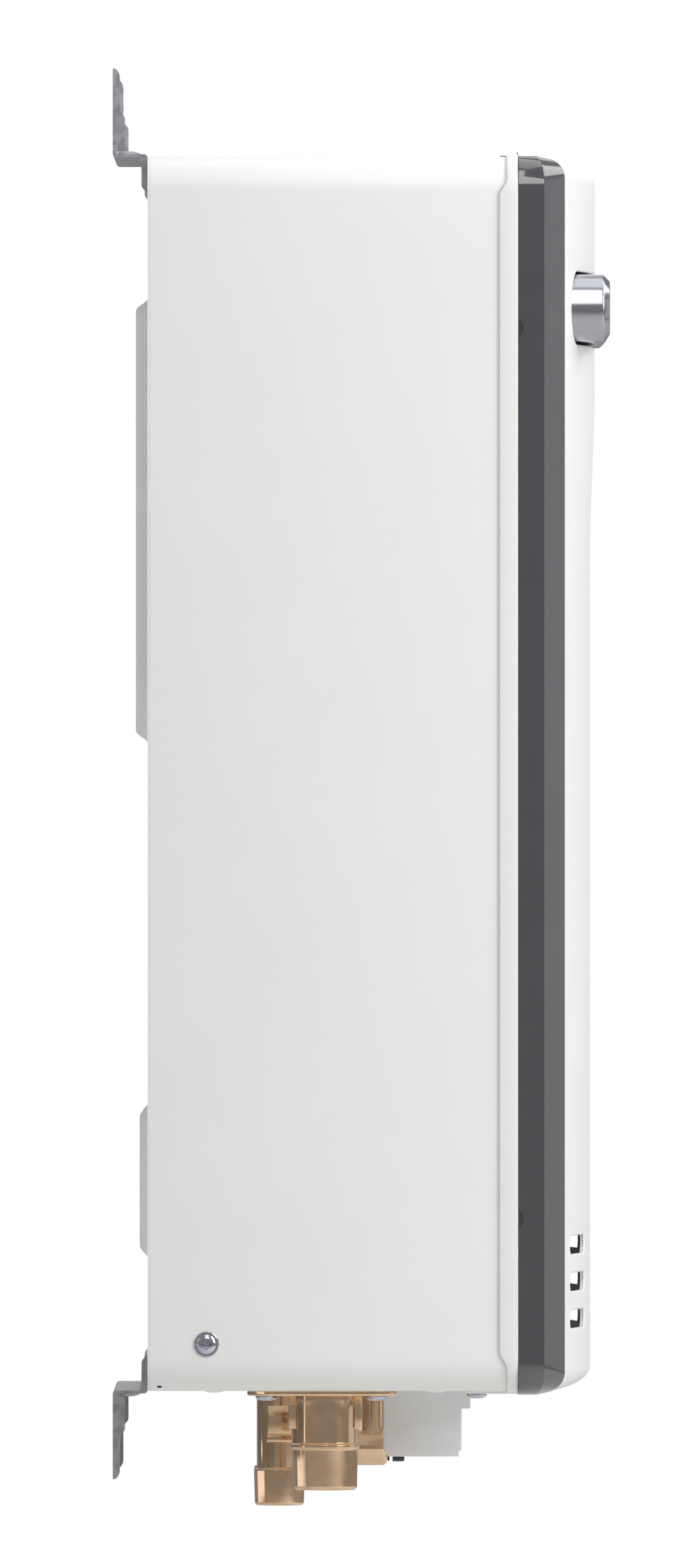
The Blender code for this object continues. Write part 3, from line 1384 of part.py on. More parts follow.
def make_overheat_switch():
    """The bimetal cut-out on the front of the jacket, with its two tags."""
    x, drop, disc, cap, step, height, tag = -0.060, 0.0647, 0.0085, 0.0070, 0.0020, 0.0070, 0.0030
    rise = JACKET_HIGH - drop
    face = GROUP_Y - JACKET_DEPTH / 2 - GAP
    profile = [(disc, face), (disc, face - step), (cap, face - step), (cap, face - height)]
    switch = turned("switch", profile, (x, MID_Z + rise), "Y", 14)
    tags = []
    for side in (-1, 1):
        centre = x + side * tag
        low = (centre - tag / 8, face - height - 2 * tag, MID_Z + rise - tag / 2)
        tags.append(box("tag", low, (centre + tag / 8, face - height + step, MID_Z + rise + tag / 2)))
    return finish(fuse(switch, joined(tags)), "overheat_switch", black_plastic())


# Control

def make_control_tray():
    """The tray on the inside of the left wall that holds the board on four posts."""
    wall, post, post_in = 0.002, 0.004, 0.009
    outer, opening = -CASE_WIDTH / 2 + CASE_SHEET + GAP, TRAY_OPENING
    tray = box("tray", (outer, TRAY_FRONT, MID_Z + TRAY_LOW), (opening, TRAY_BACK, MID_Z + TRAY_HIGH))
    low = (outer + wall, TRAY_FRONT + wall, MID_Z + TRAY_LOW + wall)
    high = (opening + OVERRUN, TRAY_BACK - wall, MID_Z + TRAY_HIGH - wall)
    cut(tray, box("hollow", low, high))
    posts = []
    for y in (TRAY_FRONT + post_in, TRAY_BACK - post_in):
        for z in (TRAY_LOW + post_in, TRAY_HIGH - post_in):
            posts.append(rod("post", (y, MID_Z + z), post, "X", outer + wall / 2, BOARD_X - GAP, 8))
    return finish(fuse(tray, joined(posts)), "control_tray", pale_plastic())


def make_control_board():
    """A printed board with its transformer, relays, capacitors, heat sink and plug sockets."""
    sheet, inset = 0.0016, 0.003
    front, back = TRAY_FRONT + inset, TRAY_BACK - inset
    low, high = MID_Z + TRAY_LOW + inset, MID_Z + TRAY_HIGH - inset
    board = box("board", (BOARD_X, front, low), (BOARD_X + sheet, back, high))
    depth, height = back - front, high - low
    root = BOARD_X + sheet / 2
    block_shares = (
        (0.08, 0.05, 0.34, 0.20, 0.0150),
        (0.44, 0.06, 0.62, 0.13, 0.0110),
        (0.66, 0.06, 0.84, 0.13, 0.0110),
        (0.10, 0.50, 0.18, 0.80, 0.0130),
        (0.22, 0.50, 0.26, 0.80, 0.0130),
        (0.30, 0.50, 0.34, 0.80, 0.0130),
        (0.45, 0.90, 0.90, 0.95, 0.0080),
        (0.90, 0.30, 0.95, 0.72, 0.0080),
    )
    pieces = []
    for y0, z0, y1, z1, tall in block_shares:
        corner = (root + tall, front + depth * y1, low + height * z1)
        pieces.append(box("block", (root, front + depth * y0, low + height * z0), corner))
    can_shares = ((0.55, 0.30, 0.0080, 0.0145), (0.75, 0.32, 0.0060, 0.0125), (0.60, 0.50, 0.0050, 0.0115))
    for y, z, radius, tall in can_shares:
        pieces.append(rod("can", (front + depth * y, low + height * z), radius, "X", root, root + tall, 12))
    return finish(fuse(board, joined(pieces)), "control_board", board_green())


# Water path

def make_flow_sensor_body():
    """A tube on the cold inlet with a bar across each end that carries the turbine."""
    bar_half, bar_height, flange, flange_height = 0.0015, 0.0030, 0.0180, 0.0040
    low, high = BOTTOM_Z + SENSOR_LOW, BOTTOM_Z + SENSOR_HIGH
    centre = (COLD_X, WATER_Y)
    profile = [
        (flange, low),
        (flange, low + flange_height),
        (SENSOR_RADIUS, low + flange_height),
        (SENSOR_RADIUS, high - flange_height),
        (flange, high - flange_height),
        (flange, high),
    ]
    body = turned("body", profile, centre, "Z")
    cut(body, rod("bore", centre, SENSOR_BORE, "Z", low - OVERRUN, high + OVERRUN))
    reach = (SENSOR_BORE + SENSOR_RADIUS) / 2
    bars = []
    for base in (low + bar_height / 2, high - bar_height * 3 / 2):
        corner = (COLD_X + reach, WATER_Y + bar_half, base + bar_height)
        bars.append(box("bar", (COLD_X - reach, WATER_Y - bar_half, base), corner))
    return finish(fuse(body, joined(bars)), "flow_sensor_body", brass())


def make_turbine():
    """The flow sensor's wheel: five pitched blades on a spindle between the two bars."""
    bar_top, hub, spindle, blade_half, blade_height, lean = 0.0045, 0.0032, 0.0012, 0.0010, 0.018, 0.0022
    rise = blade_height / 2 - spindle
    low = BOTTOM_Z + SENSOR_LOW + bar_top + GAP
    high = BOTTOM_Z + SENSOR_HIGH - bar_top - GAP
    middle = (low + high) / 2
    centre = (COLD_X, WATER_Y)
    profile = [
        (spindle, low),
        (spindle, middle - blade_height / 2),
        (hub, middle - blade_height / 2),
        (hub, middle + blade_height / 2),
        (spindle, middle + blade_height / 2),
        (spindle, high),
    ]
    wheel = turned("wheel", profile, centre, "Z", 10)
    reach = SENSOR_BORE - 3 * GAP
    base = Vector(centre)
    blades = []
    for i in range(BLADE_COUNT):
        angle = math.tau * i / BLADE_COUNT
        out, across = Vector((math.cos(angle), math.sin(angle))), Vector((-math.sin(angle), math.cos(angle)))
        section = [(-lean, -rise), (blade_half - lean, -rise), (lean, rise), (lean - blade_half, rise)]
        rings = []
        for r in (spindle, reach):
            rings.append([(*(base + out * r + across * aside), middle + up) for aside, up in section])
        blades.append(loft("blade", rings))
    return finish(fuse(wheel, joined(blades)), "flow_turbine", black_plastic(), (*centre, middle))


def make_water_valve_body():
    """The cast block above the sensor in which the spindle meters the flow."""
    edge = 0.003
    low = (COLD_X - VALVE_HALF, WATER_Y - VALVE_HALF, BOTTOM_Z + SENSOR_HIGH + GAP)
    high = (COLD_X + VALVE_HALF, WATER_Y + VALVE_HALF, BOTTOM_Z + WATER_VALVE_HIGH)
    body = bevelled(box("body", low, high), edge)
    centre = (COLD_X, BOTTOM_Z + WATER_PORT)
    bore = rod("bore", centre, SPINDLE_RADIUS + GAP, "Y", low[1] - OVERRUN, low[1] + SPINDLE_IN + GAP, 12)
    return finish(cut(body, bore), "water_valve_body", brass())


def make_spindle():
    """The metering spindle, with a flat cut along the side that faces the water."""
    flat_share = 0.35
    face = WATER_Y - VALVE_HALF
    centre = (COLD_X, BOTTOM_Z + WATER_PORT)
    spindle = rod("spindle", centre, SPINDLE_RADIUS, "Y", face + SPINDLE_IN, face - SPINDLE_OUT, 12)
    level = centre[1] + SPINDLE_RADIUS * flat_share
    low = (COLD_X - 2 * SPINDLE_RADIUS, face + SPINDLE_IN / 3, level)
    high = (COLD_X + 2 * SPINDLE_RADIUS, face + 2 * SPINDLE_IN, level + 2 * SPINDLE_RADIUS)
    cut(spindle, box("flat", low, high))
    return finish(spindle, "water_valve_spindle", brass(), (COLD_X, face, centre[1]))


def make_servo():
    """The geared motor on the front of the water valve."""
    half, depth, edge, cap, cap_depth = 0.017, 0.024, 0.002, 0.012, 0.006
    back = WATER_Y - VALVE_HALF - GAP
    level = BOTTOM_Z + WATER_PORT
    low, high = (COLD_X - half, back - depth, level - half), (COLD_X + half, back, level + half)
    body = bevelled(box("body", low, high), edge)
    centre = (COLD_X, level)
    fuse(body, rod("cap", centre, cap, "Y", back - depth + edge, back - depth - cap_depth))
    cut(body, rod("bore", centre, SPINDLE_RADIUS + GAP, "Y", back + OVERRUN, back - SPINDLE_OUT - GAP, 12))
    return finish(body, "servo_motor", black_plastic())


def make_cold_pipe():
    """From the water valve to the foot of the jacket coil."""
    turn_out = 0.018
    turn_x = COLD_X + VALVE_HALF + turn_out
    level = BOTTOM_Z + WATER_PORT
    front_tube = tube_places()[-1]
    path = [
        (COLD_X + VALVE_HALF + GAP, WATER_Y, level),
        (turn_x, WATER_Y, level),
        (turn_x, front_tube, level),
        (RISER_X, front_tube, level),
        (RISER_X, front_tube, MID_Z + COIL_LOW - COIL_DROP - GAP),
    ]
    return finish(pipe("cold", bent(path, PIPE_BEND), PIPE_RADIUS), "cold_water_pipe", copper())


def make_hot_pipe():
    """From the core's last tube down to the hot outlet."""
    jog_drop, jog_height = 0.073, 0.035
    jog_low = TUBE_RISE - jog_drop
    jog_high = jog_low + jog_height
    level = BOTTOM_Z + HOT_PORT
    back_tube = tube_places()[0]
    path = [
        (HOT_X + HOT_PORT_REACH + GAP, WATER_Y, level),
        (RISER_X, WATER_Y, level),
        (RISER_X, WATER_Y, MID_Z + jog_low),
        (RISER_X, back_tube, MID_Z + jog_high),
        (RISER_X, back_tube, MID_Z + TUBE_RISE),
        (JACKET_WIDTH / 2 + TUBE_STUB + GAP, back_tube, MID_Z + TUBE_RISE),
    ]
    return finish(pipe("hot", bent(path, PIPE_BEND), PIPE_RADIUS), "hot_water_pipe", copper())


def make_bypass_pipe():
    """Lets some cold water past the heat exchanger into the hot outlet."""
    radius, bend, run = 0.005, 0.010, 0.0444
    back = WATER_Y + run
    level = BOTTOM_Z + WATER_PORT
    path = [
        (COLD_X, WATER_Y + VALVE_HALF + GAP, level),
        (COLD_X, back, level),
        (HOT_X, back, level),
        (HOT_X, WATER_Y + HOT_PORT_REACH + GAP, level),
    ]
    return finish(pipe("bypass", bent(path, bend), radius), "bypass_pipe", copper())


def water_fitting(x, top, block):
    """The upright casting shared by the cold inlet and the hot outlet, with a threaded collar below."""
    collar_top, collar_edge, shrink = 0.0469, 0.0010, 0.0008
    bottom = BOTTOM_Z - WATER_DROP
    profile = [
        (block, BOTTOM_Z + top),
        (block, BOTTOM_Z + SEAT_RISE),
        (WATER_RADIUS, BOTTOM_Z + SEAT_RISE),
        (WATER_RADIUS, BOTTOM_Z - collar_top),
        (WATER_COLLAR, BOTTOM_Z - collar_top),
        (WATER_COLLAR - shrink, bottom + collar_edge),
        (WATER_COLLAR - shrink - collar_edge, bottom),
    ]
    return turned("fitting", profile, (x, WATER_Y), "Z")


def make_cold_inlet():
    """The cold inlet casting, with a branch towards the front that takes the filter."""
    panel_low, panel_high, panel_half, panel_proud = -0.0283, -0.0118, 0.0065, 0.0014
    rib_low, rib_high, rib_half = -0.0321, -0.0279, 0.0070
    boss_in, boss_radius, boss_top = 0.0062, 0.0044, -0.0161
    boss_y = boss_in - FILTER_END
    fitting = water_fitting(COLD_X, SENSOR_LOW - GAP, SENSOR_RADIUS)
    centre = (COLD_X, BOTTOM_Z + FILTER_RISE)
    fuse(fitting, rod("branch", centre, FILTER_RADIUS, "Y", WATER_Y, -FILTER_END))
    for low, high, half, share in ((panel_low, panel_high, panel_half, 1), (rib_low, rib_high, rib_half, 2)):
        reach = WATER_RADIUS + panel_proud * share
        corner = (COLD_X - reach, WATER_Y - half, BOTTOM_Z + low)
        fuse(fitting, box("panel", corner, (COLD_X, WATER_Y + half, BOTTOM_Z + high)))
    fuse(fitting, rod("boss", (COLD_X, boss_y), boss_radius, "Z", centre[1], BOTTOM_Z + boss_top, 10))
    bore_low, bore_high = BOTTOM_Z - WATER_DROP - OVERRUN, BOTTOM_Z + SENSOR_LOW + OVERRUN
    cut(fitting, rod("bore", (COLD_X, WATER_Y), WATER_BORE, "Z", bore_low, bore_high))
    cut(fitting, rod("filter", centre, FILTER_BORE, "Y", WATER_Y, -FILTER_END - OVERRUN, 12))
    return finish(fitting, "cold_water_inlet", brass())


def make_hot_outlet():
    """The hot outlet casting, with ports for the hot pipe, the bypass and the thermistor."""
    boss, bypass_boss, probe_boss, block, crown = 0.0105, 0.0075, 0.0060, 0.0140, 0.0120
    top = HOT_PORT + crown
    fitting = water_fitting(HOT_X, top, block)
    side = (WATER_Y, BOTTOM_Z + HOT_PORT)
    fuse(fitting, rod("port", side, boss, "X", HOT_X, HOT_X + HOT_PORT_REACH, 14))
    back = (HOT_X, BOTTOM_Z + WATER_PORT)
    fuse(fitting, rod("port", back, bypass_boss, "Y", WATER_Y, WATER_Y + HOT_PORT_REACH, 12))
    probe = (HOT_X, BOTTOM_Z + THERMISTOR_RISE)
    fuse(fitting, rod("port", probe, probe_boss, "Y", WATER_Y, WATER_Y - HOT_PORT_REACH, 12))
    bore_top = BOTTOM_Z + HOT_PORT - boss
    cut(fitting, rod("bore", (HOT_X, WATER_Y), WATER_BORE, "Z", BOTTOM_Z - WATER_DROP - OVERRUN, bore_top))
    return finish(fitting, "hot_water_outlet", brass())


def make_thermistor():
    """The outlet temperature probe screwed into the hot casting."""
    hex_radius, hex_depth, stem, stem_depth = 0.0065, 0.0050, 0.0035, 0.0140
    seat = WATER_Y - HOT_PORT_REACH - GAP
    profile = [(hex_radius, seat), (hex_radius, seat - hex_depth)]
    profile += [(stem, seat - hex_depth), (stem, seat - stem_depth)]
    centre = (HOT_X, BOTTOM_Z + THERMISTOR_RISE)
    return finish(turned("probe", profile, centre, "Y", 6), "outlet_thermistor", brass())


def make_frost_heater():
    """A ceramic heater clipped round the cold riser."""
    half, drop, height, edge = 0.0125, 0.090, 0.032, 0.002
    low = BURNER_BOX_LOW - drop
    high = low + height
    centre = (RISER_X, tube_places()[-1])
    corner = (centre[0] + half, centre[1] + half, MID_Z + high)
    body = bevelled(box("body", (centre[0] - half, centre[1] - half, MID_Z + low), corner), edge)
    cut(body, rod("bore", centre, PIPE_RADIUS + GAP, "Z", MID_Z + low - OVERRUN, MID_Z + high + OVERRUN, 12))
    return finish(body, "frost_heater", ceramic())


def make_filter_plug():
    """The black plug of the filter: a shank in the branch and a ribbed knob outside."""
    knob, knob_stand, knob_depth, edge, groove, groove_count = 0.0079, 0.0032, 0.0066, 0.0008, 0.0008, 8
    shank_end, neck_start = FILTER_END - PLUG_SHANK, FILTER_END - GAP
    knob_back = FILTER_END + knob_stand
    knob_front = knob_back + knob_depth
    profile = [
        (FILTER_BORE - GAP, -shank_end),
        (FILTER_BORE - GAP, -neck_start),
        (PLUG_NECK, -neck_start),
        (PLUG_NECK, -knob_back),
        (knob, -knob_back),
        (knob, edge - knob_front),
        (knob - edge, -knob_front),
    ]
    centre = (COLD_X, BOTTOM_Z + FILTER_RISE)
    plug = turned("plug", profile, centre, "Y")
    grooves = []
    for x, z in circle(centre, knob + groove / 4, groove_count):
        grooves.append(rod("groove", (x, z), groove, "Y", GAP - knob_back, -knob_front - OVERRUN, 6))
    cut(plug, joined(grooves))
    return finish(plug, "filter_plug", black_plastic(), (centre[0], -FILTER_END, centre[1]))


def make_o_ring():
    """The plug's seal, on its neck against the end of the branch."""
    outer, thickness = 0.0077, 0.0016
    front = FILTER_END + thickness
    back = -FILTER_END - GAP
    inner = PLUG_NECK + GAP
    edge = (outer - inner) / 4
    profile = [
        (outer - edge, back),
        (outer, back - edge),
        (outer, edge - front),
        (outer - edge, -front),
        (inner, -front),
        (inner, back),
    ]
    ring = turned("ring", profile, (COLD_X, BOTTOM_Z + FILTER_RISE), "Y", 12, hollow=True)
    return finish(ring, "filter_o_ring", black_rubber(), (COLD_X, -FILTER_END, BOTTOM_Z + FILTER_RISE))


def make_strainer():
    """The filter basket behind the plug: a slotted cup."""
    outer, wall, length, floor = 0.0061, 0.0008, 0.0262, 0.0012
    front = FILTER_END - PLUG_SHANK - GAP
    back = front - length
    slot_half, slot_inset = 0.0012, 0.004
    centre = (COLD_X, BOTTOM_Z + FILTER_RISE)
    cup = rod("cup", centre, outer, "Y", -back, -front, 12)
    cut(cup, rod("hollow", centre, outer - wall, "Y", OVERRUN - back, floor - front, 12))
    reach = outer + wall
    middle = (back + front) / 2
    for start, end in ((back + slot_inset, middle - floor), (middle + floor, front - slot_inset)):
        low = (centre[0] - reach, -end, centre[1] - slot_half)
        cut(cup, box("slot", low, (centre[0] + reach, -start, centre[1] + slot_half)))
        low = (centre[0] - slot_half, -end, centre[1] - reach)
        cut(cup, box("slot", low, (centre[0] + slot_half, -start, centre[1] + reach)))
    return finish(cup, "filter_strainer", zinc_sheet(), (centre[0], -FILTER_END, centre[1]))


# Underside

def make_gas_fitting():
    """The gas socket: flats above, a shoulder ring and a round skirt with the threaded bore."""
    flats, flats_depth, body, ring_top, ring_radius = 0.01975, 0.0229, 0.0186, 0.0309, 0.0195
    ring_depth, skirt, skirt_end, edge, edge_depth = 0.0015, 0.0177, 0.01735, 0.0027, 0.0036
    end, socket, socket_depth, way = 0.0552, 0.0120, 0.0200, 0.0080
    shoulder = BOTTOM_Z - PLATE_DROP - PLATE_SHEET - GAP
    bottom = BOTTOM_Z - end
    centre = (GAS_X, GAS_Y)
    profile = [
        (GAS_NECK, BOTTOM_Z + VALVE_LOW - GAP),
        (GAS_NECK, shoulder),
        (body, shoulder),
        (body, BOTTOM_Z - ring_top),
        (ring_radius, BOTTOM_Z - ring_top),
        (ring_radius, BOTTOM_Z - ring_top - ring_depth),
        (skirt, BOTTOM_Z - ring_top - ring_depth),
        (skirt_end, bottom + edge_depth),
        (skirt_end - edge / 3, bottom + edge_depth / 3),
        (skirt_end - edge, bottom),
    ]
    fitting = turned("fitting", profile, centre, "Z")
    apothem = flats / math.cos(math.pi / 6)
    hexagon = circle(centre, apothem, 6)
    fuse(fitting, prism("hexagon", hexagon, "Z", shoulder, BOTTOM_Z - flats_depth))
    cut(fitting, rod("way", centre, way, "Z", bottom - OVERRUN, BOTTOM_Z + VALVE_LOW + OVERRUN, 14))
    cut(fitting, rod("socket", centre, socket, "Z", bottom - OVERRUN, bottom + socket_depth))
    return finish(fitting, "gas_inlet_fitting", brass())


def make_connection_plate():
    """The brass coloured plate that clamps the gas fitting to the bottom of the case, with cut corners."""
    half_x, half_y, corner, hole = 0.035, 0.04065, 0.0101, 0.0024
    shift = 0.00185
    centre_y = GAS_Y + shift
    top = BOTTOM_Z - PLATE_DROP
    outline = []
    for sx, sy in ((1, 1), (-1, 1), (-1, -1), (1, -1)):
        ends = [(GAS_X + sx * half_x, centre_y + sy * (half_y - corner)),
                (GAS_X + sx * (half_x - corner), centre_y + sy * half_y)]
        outline += ends if sx * sy > 0 else ends[::-1]
    plate = prism("plate", outline, "Z", top, top - PLATE_SHEET)
    cut(plate, rod("neck", (GAS_X, GAS_Y), GAS_NECK + GAP, "Z", top + OVERRUN, top - 2 * OVERRUN, 20))
    for y in PLATE_SCREW_YS:
        cut(plate, rod("hole", (GAS_X, y), hole, "Z", top + OVERRUN, top - 2 * OVERRUN, 10))
    return finish(plate, "connection_plate", brass())


def make_plate_screw(name, y):
    """A dome headed screw that holds the connection plate to the case."""
    shank, head, dome_height, rim = 0.0021, 0.0061, 0.0030, 0.0008
    shoulder_share, shoulder_height_share, crown_share = 0.85, 0.65, 0.5
    top = BOTTOM_Z - PLATE_DROP
    seat = top - PLATE_SHEET - GAP
    profile = [
        (shank, top),
        (shank, seat),
        (head, seat),
        (head, seat - rim),
        (head * shoulder_share, seat - dome_height * shoulder_height_share),
        (head * crown_share, seat - dome_height),
    ]
    return finish(turned("screw", profile, (GAS_X, y), "Z", 12), name, zinc_sheet())


def make_terminal_cover():
    """The translucent box over the wiring terminals, open towards the case."""
    half, wall, edge = 0.030, 0.0018, 0.0014
    flange_length, flange_depth, ledge = 0.0427, 0.0119, 0.0048
    step, step_depth, depth, chamfer = 0.0014, 0.0348, 0.0381, 0.0024
    flange_front = CASE_REACH - TERMINAL_IN
    flange_back = flange_front - flange_length
    back, front = flange_back - ledge, flange_front - ledge
    top = BOTTOM_Z - GAP
    base = BOTTOM_Z
    outline = [
        (-flange_back, top),
        (-flange_back, base - step),
        (-back, base - step - flange_back + back),
        (-back, base - step_depth),
        (-back - chamfer, base - depth),
        (step - front, base - depth),
        (step - front, base - step_depth),
        (-front, base - step_depth),
        (-front, base - flange_depth),
        (-flange_front, base - flange_depth),
        (-flange_front, top),
    ]
    cover = prism("cover", outline, "X", TERMINAL_X - half, TERMINAL_X + half)
    bevelled(cover, edge / 2)
    low = (TERMINAL_X - half + wall, wall - front + step, base - depth + wall)
    cut(cover, box("hollow", low, (TERMINAL_X + half - wall, -flange_back - wall, base + OVERRUN)))
    return finish(cover, "terminal_cover", pale_plastic())


def make_terminal_block():
    """The screw terminals inside that box."""
    half, length, depth, front_in, ways, way_depth, way_share = 0.022, 0.022, 0.018, 0.0152, 4, 0.006, 0.35
    front = CASE_REACH - TERMINAL_IN - front_in
    back = front - length
    top = BOTTOM_Z - GAP
    low = (TERMINAL_X - half, -front, top - depth)
    block = box("block", low, (TERMINAL_X + half, -back, top))
    pitch = 2 * half / ways
    ways_cut = []
    for i in range(ways):
        x = TERMINAL_X - half + pitch * (i + 0.5)
        reach = pitch * way_share
        corner = (x + reach, -back - way_depth, low[2] + way_depth)
        ways_cut.append(box("way", (x - reach, -front + way_depth, low[2] - OVERRUN), corner))
    return finish(cut(block, joined(ways_cut)), "terminal_block", black_plastic())


BUILT = [
    make_back_panel(),
    make_case_wrap(),
    make_side_screw("side_screw_left", -1),
    make_side_screw("side_screw_right", 1),
    make_bracket("upper_bracket", 1),
    make_bracket("lower_bracket", -1),
    make_cover_skirt(),
    make_cover_screw("cover_screw_left", -1),
    make_cover_screw("cover_screw_right", 1),
    make_cover_gasket(),
    make_trim_frame(),
    make_cover_panel(),
    make_exhaust_outlet(),
    make_exhaust_guard(),
    make_flue_box(),
    make_jacket(),
    make_core(),
    make_coil(),
    make_burner_box(),
    make_burner_bars(),
    make_manifold(),
    make_gas_pipe(),
    make_gas_valve_body(),
    make_valve_coil("main_valve_coil", MAIN_COIL_X, MAIN_COIL_RADIUS, MAIN_COIL_LENGTH),
    make_plunger("main_valve_plunger", MAIN_COIL_X),
    make_valve_coil("modulating_coil", MODULATING_COIL_X, MODULATING_COIL_RADIUS, MODULATING_COIL_LENGTH),
    make_plunger("modulating_plunger", MODULATING_COIL_X),
    make_blower_housing(),
    make_impeller(),
    make_shaft(),
    make_motor(),
    make_igniter(),
    make_probe("ignition_electrode", ELECTRODE_X, ELECTRODE_REACH),
    make_probe("flame_rod", FLAME_ROD_X, FLAME_ROD_REACH),
    make_overheat_switch(),
    make_control_tray(),
    make_control_board(),
    make_flow_sensor_body(),
    make_turbine(),
    make_water_valve_body(),
    make_spindle(),
    make_servo(),
    make_cold_pipe(),
    make_hot_pipe(),
    make_bypass_pipe(),
    make_cold_inlet(),
    make_hot_outlet(),
    make_thermistor(),
    make_frost_heater(),
    make_filter_plug(),
    make_o_ring(),
    make_strainer(),
    make_gas_fitting(),
    make_connection_plate(),
    make_plate_screw("plate_screw_back", PLATE_SCREW_YS[0]),
    make_plate_screw("plate_screw_front", PLATE_SCREW_YS[1]),
    make_terminal_cover(),
    make_terminal_block(),
]
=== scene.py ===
# Wall hung gas water heater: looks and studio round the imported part
import math

import bmesh
import bpy
import numpy as np
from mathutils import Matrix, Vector
from mathutils.geometry import delaunay_2d_cdt


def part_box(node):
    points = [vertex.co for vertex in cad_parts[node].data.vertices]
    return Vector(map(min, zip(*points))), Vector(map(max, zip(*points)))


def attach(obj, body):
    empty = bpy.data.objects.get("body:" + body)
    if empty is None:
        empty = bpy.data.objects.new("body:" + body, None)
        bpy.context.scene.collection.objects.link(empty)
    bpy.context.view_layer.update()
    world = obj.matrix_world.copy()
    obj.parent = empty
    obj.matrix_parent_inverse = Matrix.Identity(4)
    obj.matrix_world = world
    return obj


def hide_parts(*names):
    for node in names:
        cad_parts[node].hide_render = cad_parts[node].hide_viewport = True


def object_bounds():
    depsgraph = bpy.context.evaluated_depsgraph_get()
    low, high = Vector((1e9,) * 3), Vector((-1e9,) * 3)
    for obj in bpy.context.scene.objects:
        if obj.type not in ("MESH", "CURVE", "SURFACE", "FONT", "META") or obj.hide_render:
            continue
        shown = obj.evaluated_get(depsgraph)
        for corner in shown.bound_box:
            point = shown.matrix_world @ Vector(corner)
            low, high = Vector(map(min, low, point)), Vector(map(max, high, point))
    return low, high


mm = 0.001
axes = {"X": (1, 2, 0), "Y": (0, 2, 1), "Z": (0, 1, 2)}  # an outline's two directions, and its travel

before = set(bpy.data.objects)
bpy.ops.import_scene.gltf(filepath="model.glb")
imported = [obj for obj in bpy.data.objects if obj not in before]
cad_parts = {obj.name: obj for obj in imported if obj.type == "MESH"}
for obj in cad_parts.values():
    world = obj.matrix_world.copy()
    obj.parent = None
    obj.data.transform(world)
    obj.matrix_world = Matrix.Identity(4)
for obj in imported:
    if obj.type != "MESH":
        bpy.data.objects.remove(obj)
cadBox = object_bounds()
print("frame loaded")


# Shape making: outlines are (n, 2), grids are (rows, columns, 3), all in metres

def gridQuads(rows, columns, wrapRows, wrapColumns):
    # four neighbouring points of a grid, numbered row by row, make one face
    row, column = np.meshgrid(
        np.arange(rows if wrapRows else rows - 1),
        np.arange(columns if wrapColumns else columns - 1),
        indexing="ij",
    )
    below, beside = (row + 1) % rows, (column + 1) % columns
    here, under = row * columns, below * columns
    return np.stack([here + column, here + beside, under + beside, under + column], -1).reshape(-1, 4)


def smoothStep(share):
    # 3 s^2 - 2 s^3 of a share held between 0 and 1
    share = np.clip(share, 0, 1)
    return share**2 * (3 - 2 * share)


def softened(corners, amount, steps=4, closed=False):
    # a path through corners, each one rounded by a parabola that starts and ends amount away from it
    corners = np.asarray(corners, float)
    before, after = np.roll(corners, 1, 0) - corners, np.roll(corners, -1, 0) - corners
    spans = [np.maximum(np.linalg.norm(way, axis=1, keepdims=True), 1e-9) for way in (before, after)]
    amount = np.broadcast_to(np.asarray(amount, float), len(corners)).copy()
    if not closed:
        amount[[0, -1]] = 0
    start = corners + before / spans[0] * np.minimum(amount[:, None], 0.48 * spans[0])
    end = corners + after / spans[1] * np.minimum(amount[:, None], 0.48 * spans[1])
    t = np.linspace(0, 1, steps + 1)[None, :, None]
    curve = (1 - t) ** 2 * start[:, None] + 2 * t * (1 - t) * corners[:, None] + t**2 * end[:, None]
    path = curve.reshape(-1, corners.shape[1])
    keep = np.linalg.norm(np.diff(path, axis=0, prepend=path[:1] - 1), axis=1) > 1e-7
    return path[keep]


def carried(outline, along, axis):
    # an outline's points with their travel along the axis, which may differ from point to point
    points = np.empty((len(outline), 3))
    first, second, travel = axes[axis]
    points[:, first], points[:, second], points[:, travel] = outline[:, 0], outline[:, 1], along
    return points


def stacked(outlineAt, rows, axis):
    # one ring of the outline for each row of (inset, travel)
    return np.stack([carried(outlineAt(inset), along, axis) for inset, along in rows])


def lathe(profile, centre, axis, steps=96):
    # each (radius, travel) of the profile goes once round the axis: centre + radius * (cos, sin)
    turn = np.linspace(0, math.tau, steps, endpoint=False)
    ring = np.stack([np.cos(turn), np.sin(turn)], -1)
    return stacked(lambda radius: np.asarray(centre) + radius * ring, profile, axis)


def boxOutline(half, low, high, corner, topArch=0.0, lowArch=0.0, levels=None, acrossSteps=32):
    # rounded rectangle about X = 0: four quarter circles, straight sides, and ends that bow out as parabolas
    turn = np.linspace(0, math.pi / 2, 15)
    reach = half - corner
    across = np.linspace(reach, -reach, acrossSteps + 1)[1:-1]
    bow = 1 - (across / reach) ** 2
    shares = np.linspace(0, 1, 12)[1:-1] if levels is None else levels
    up = low + corner + (high - low - 2 * corner) * shares
    upper, lower = high - corner, low + corner
    quarters = []
    for k, (x, z) in enumerate(((reach, upper), (-reach, upper), (-reach, lower), (reach, lower))):
        angle = turn + k * math.pi / 2
        quarters.append(np.stack([x + corner * np.cos(angle), z + corner * np.sin(angle)], -1))
    top = np.stack([across, high + topArch * bow], -1)
    bottom = np.stack([-across, low - lowArch * bow], -1)
    left = np.stack([np.full(len(up), -half), up[::-1]], -1)
    right = np.stack([np.full(len(up), half), up], -1)
    return np.concatenate([quarters[0], top, quarters[1], left, quarters[2], bottom, quarters[3], right])


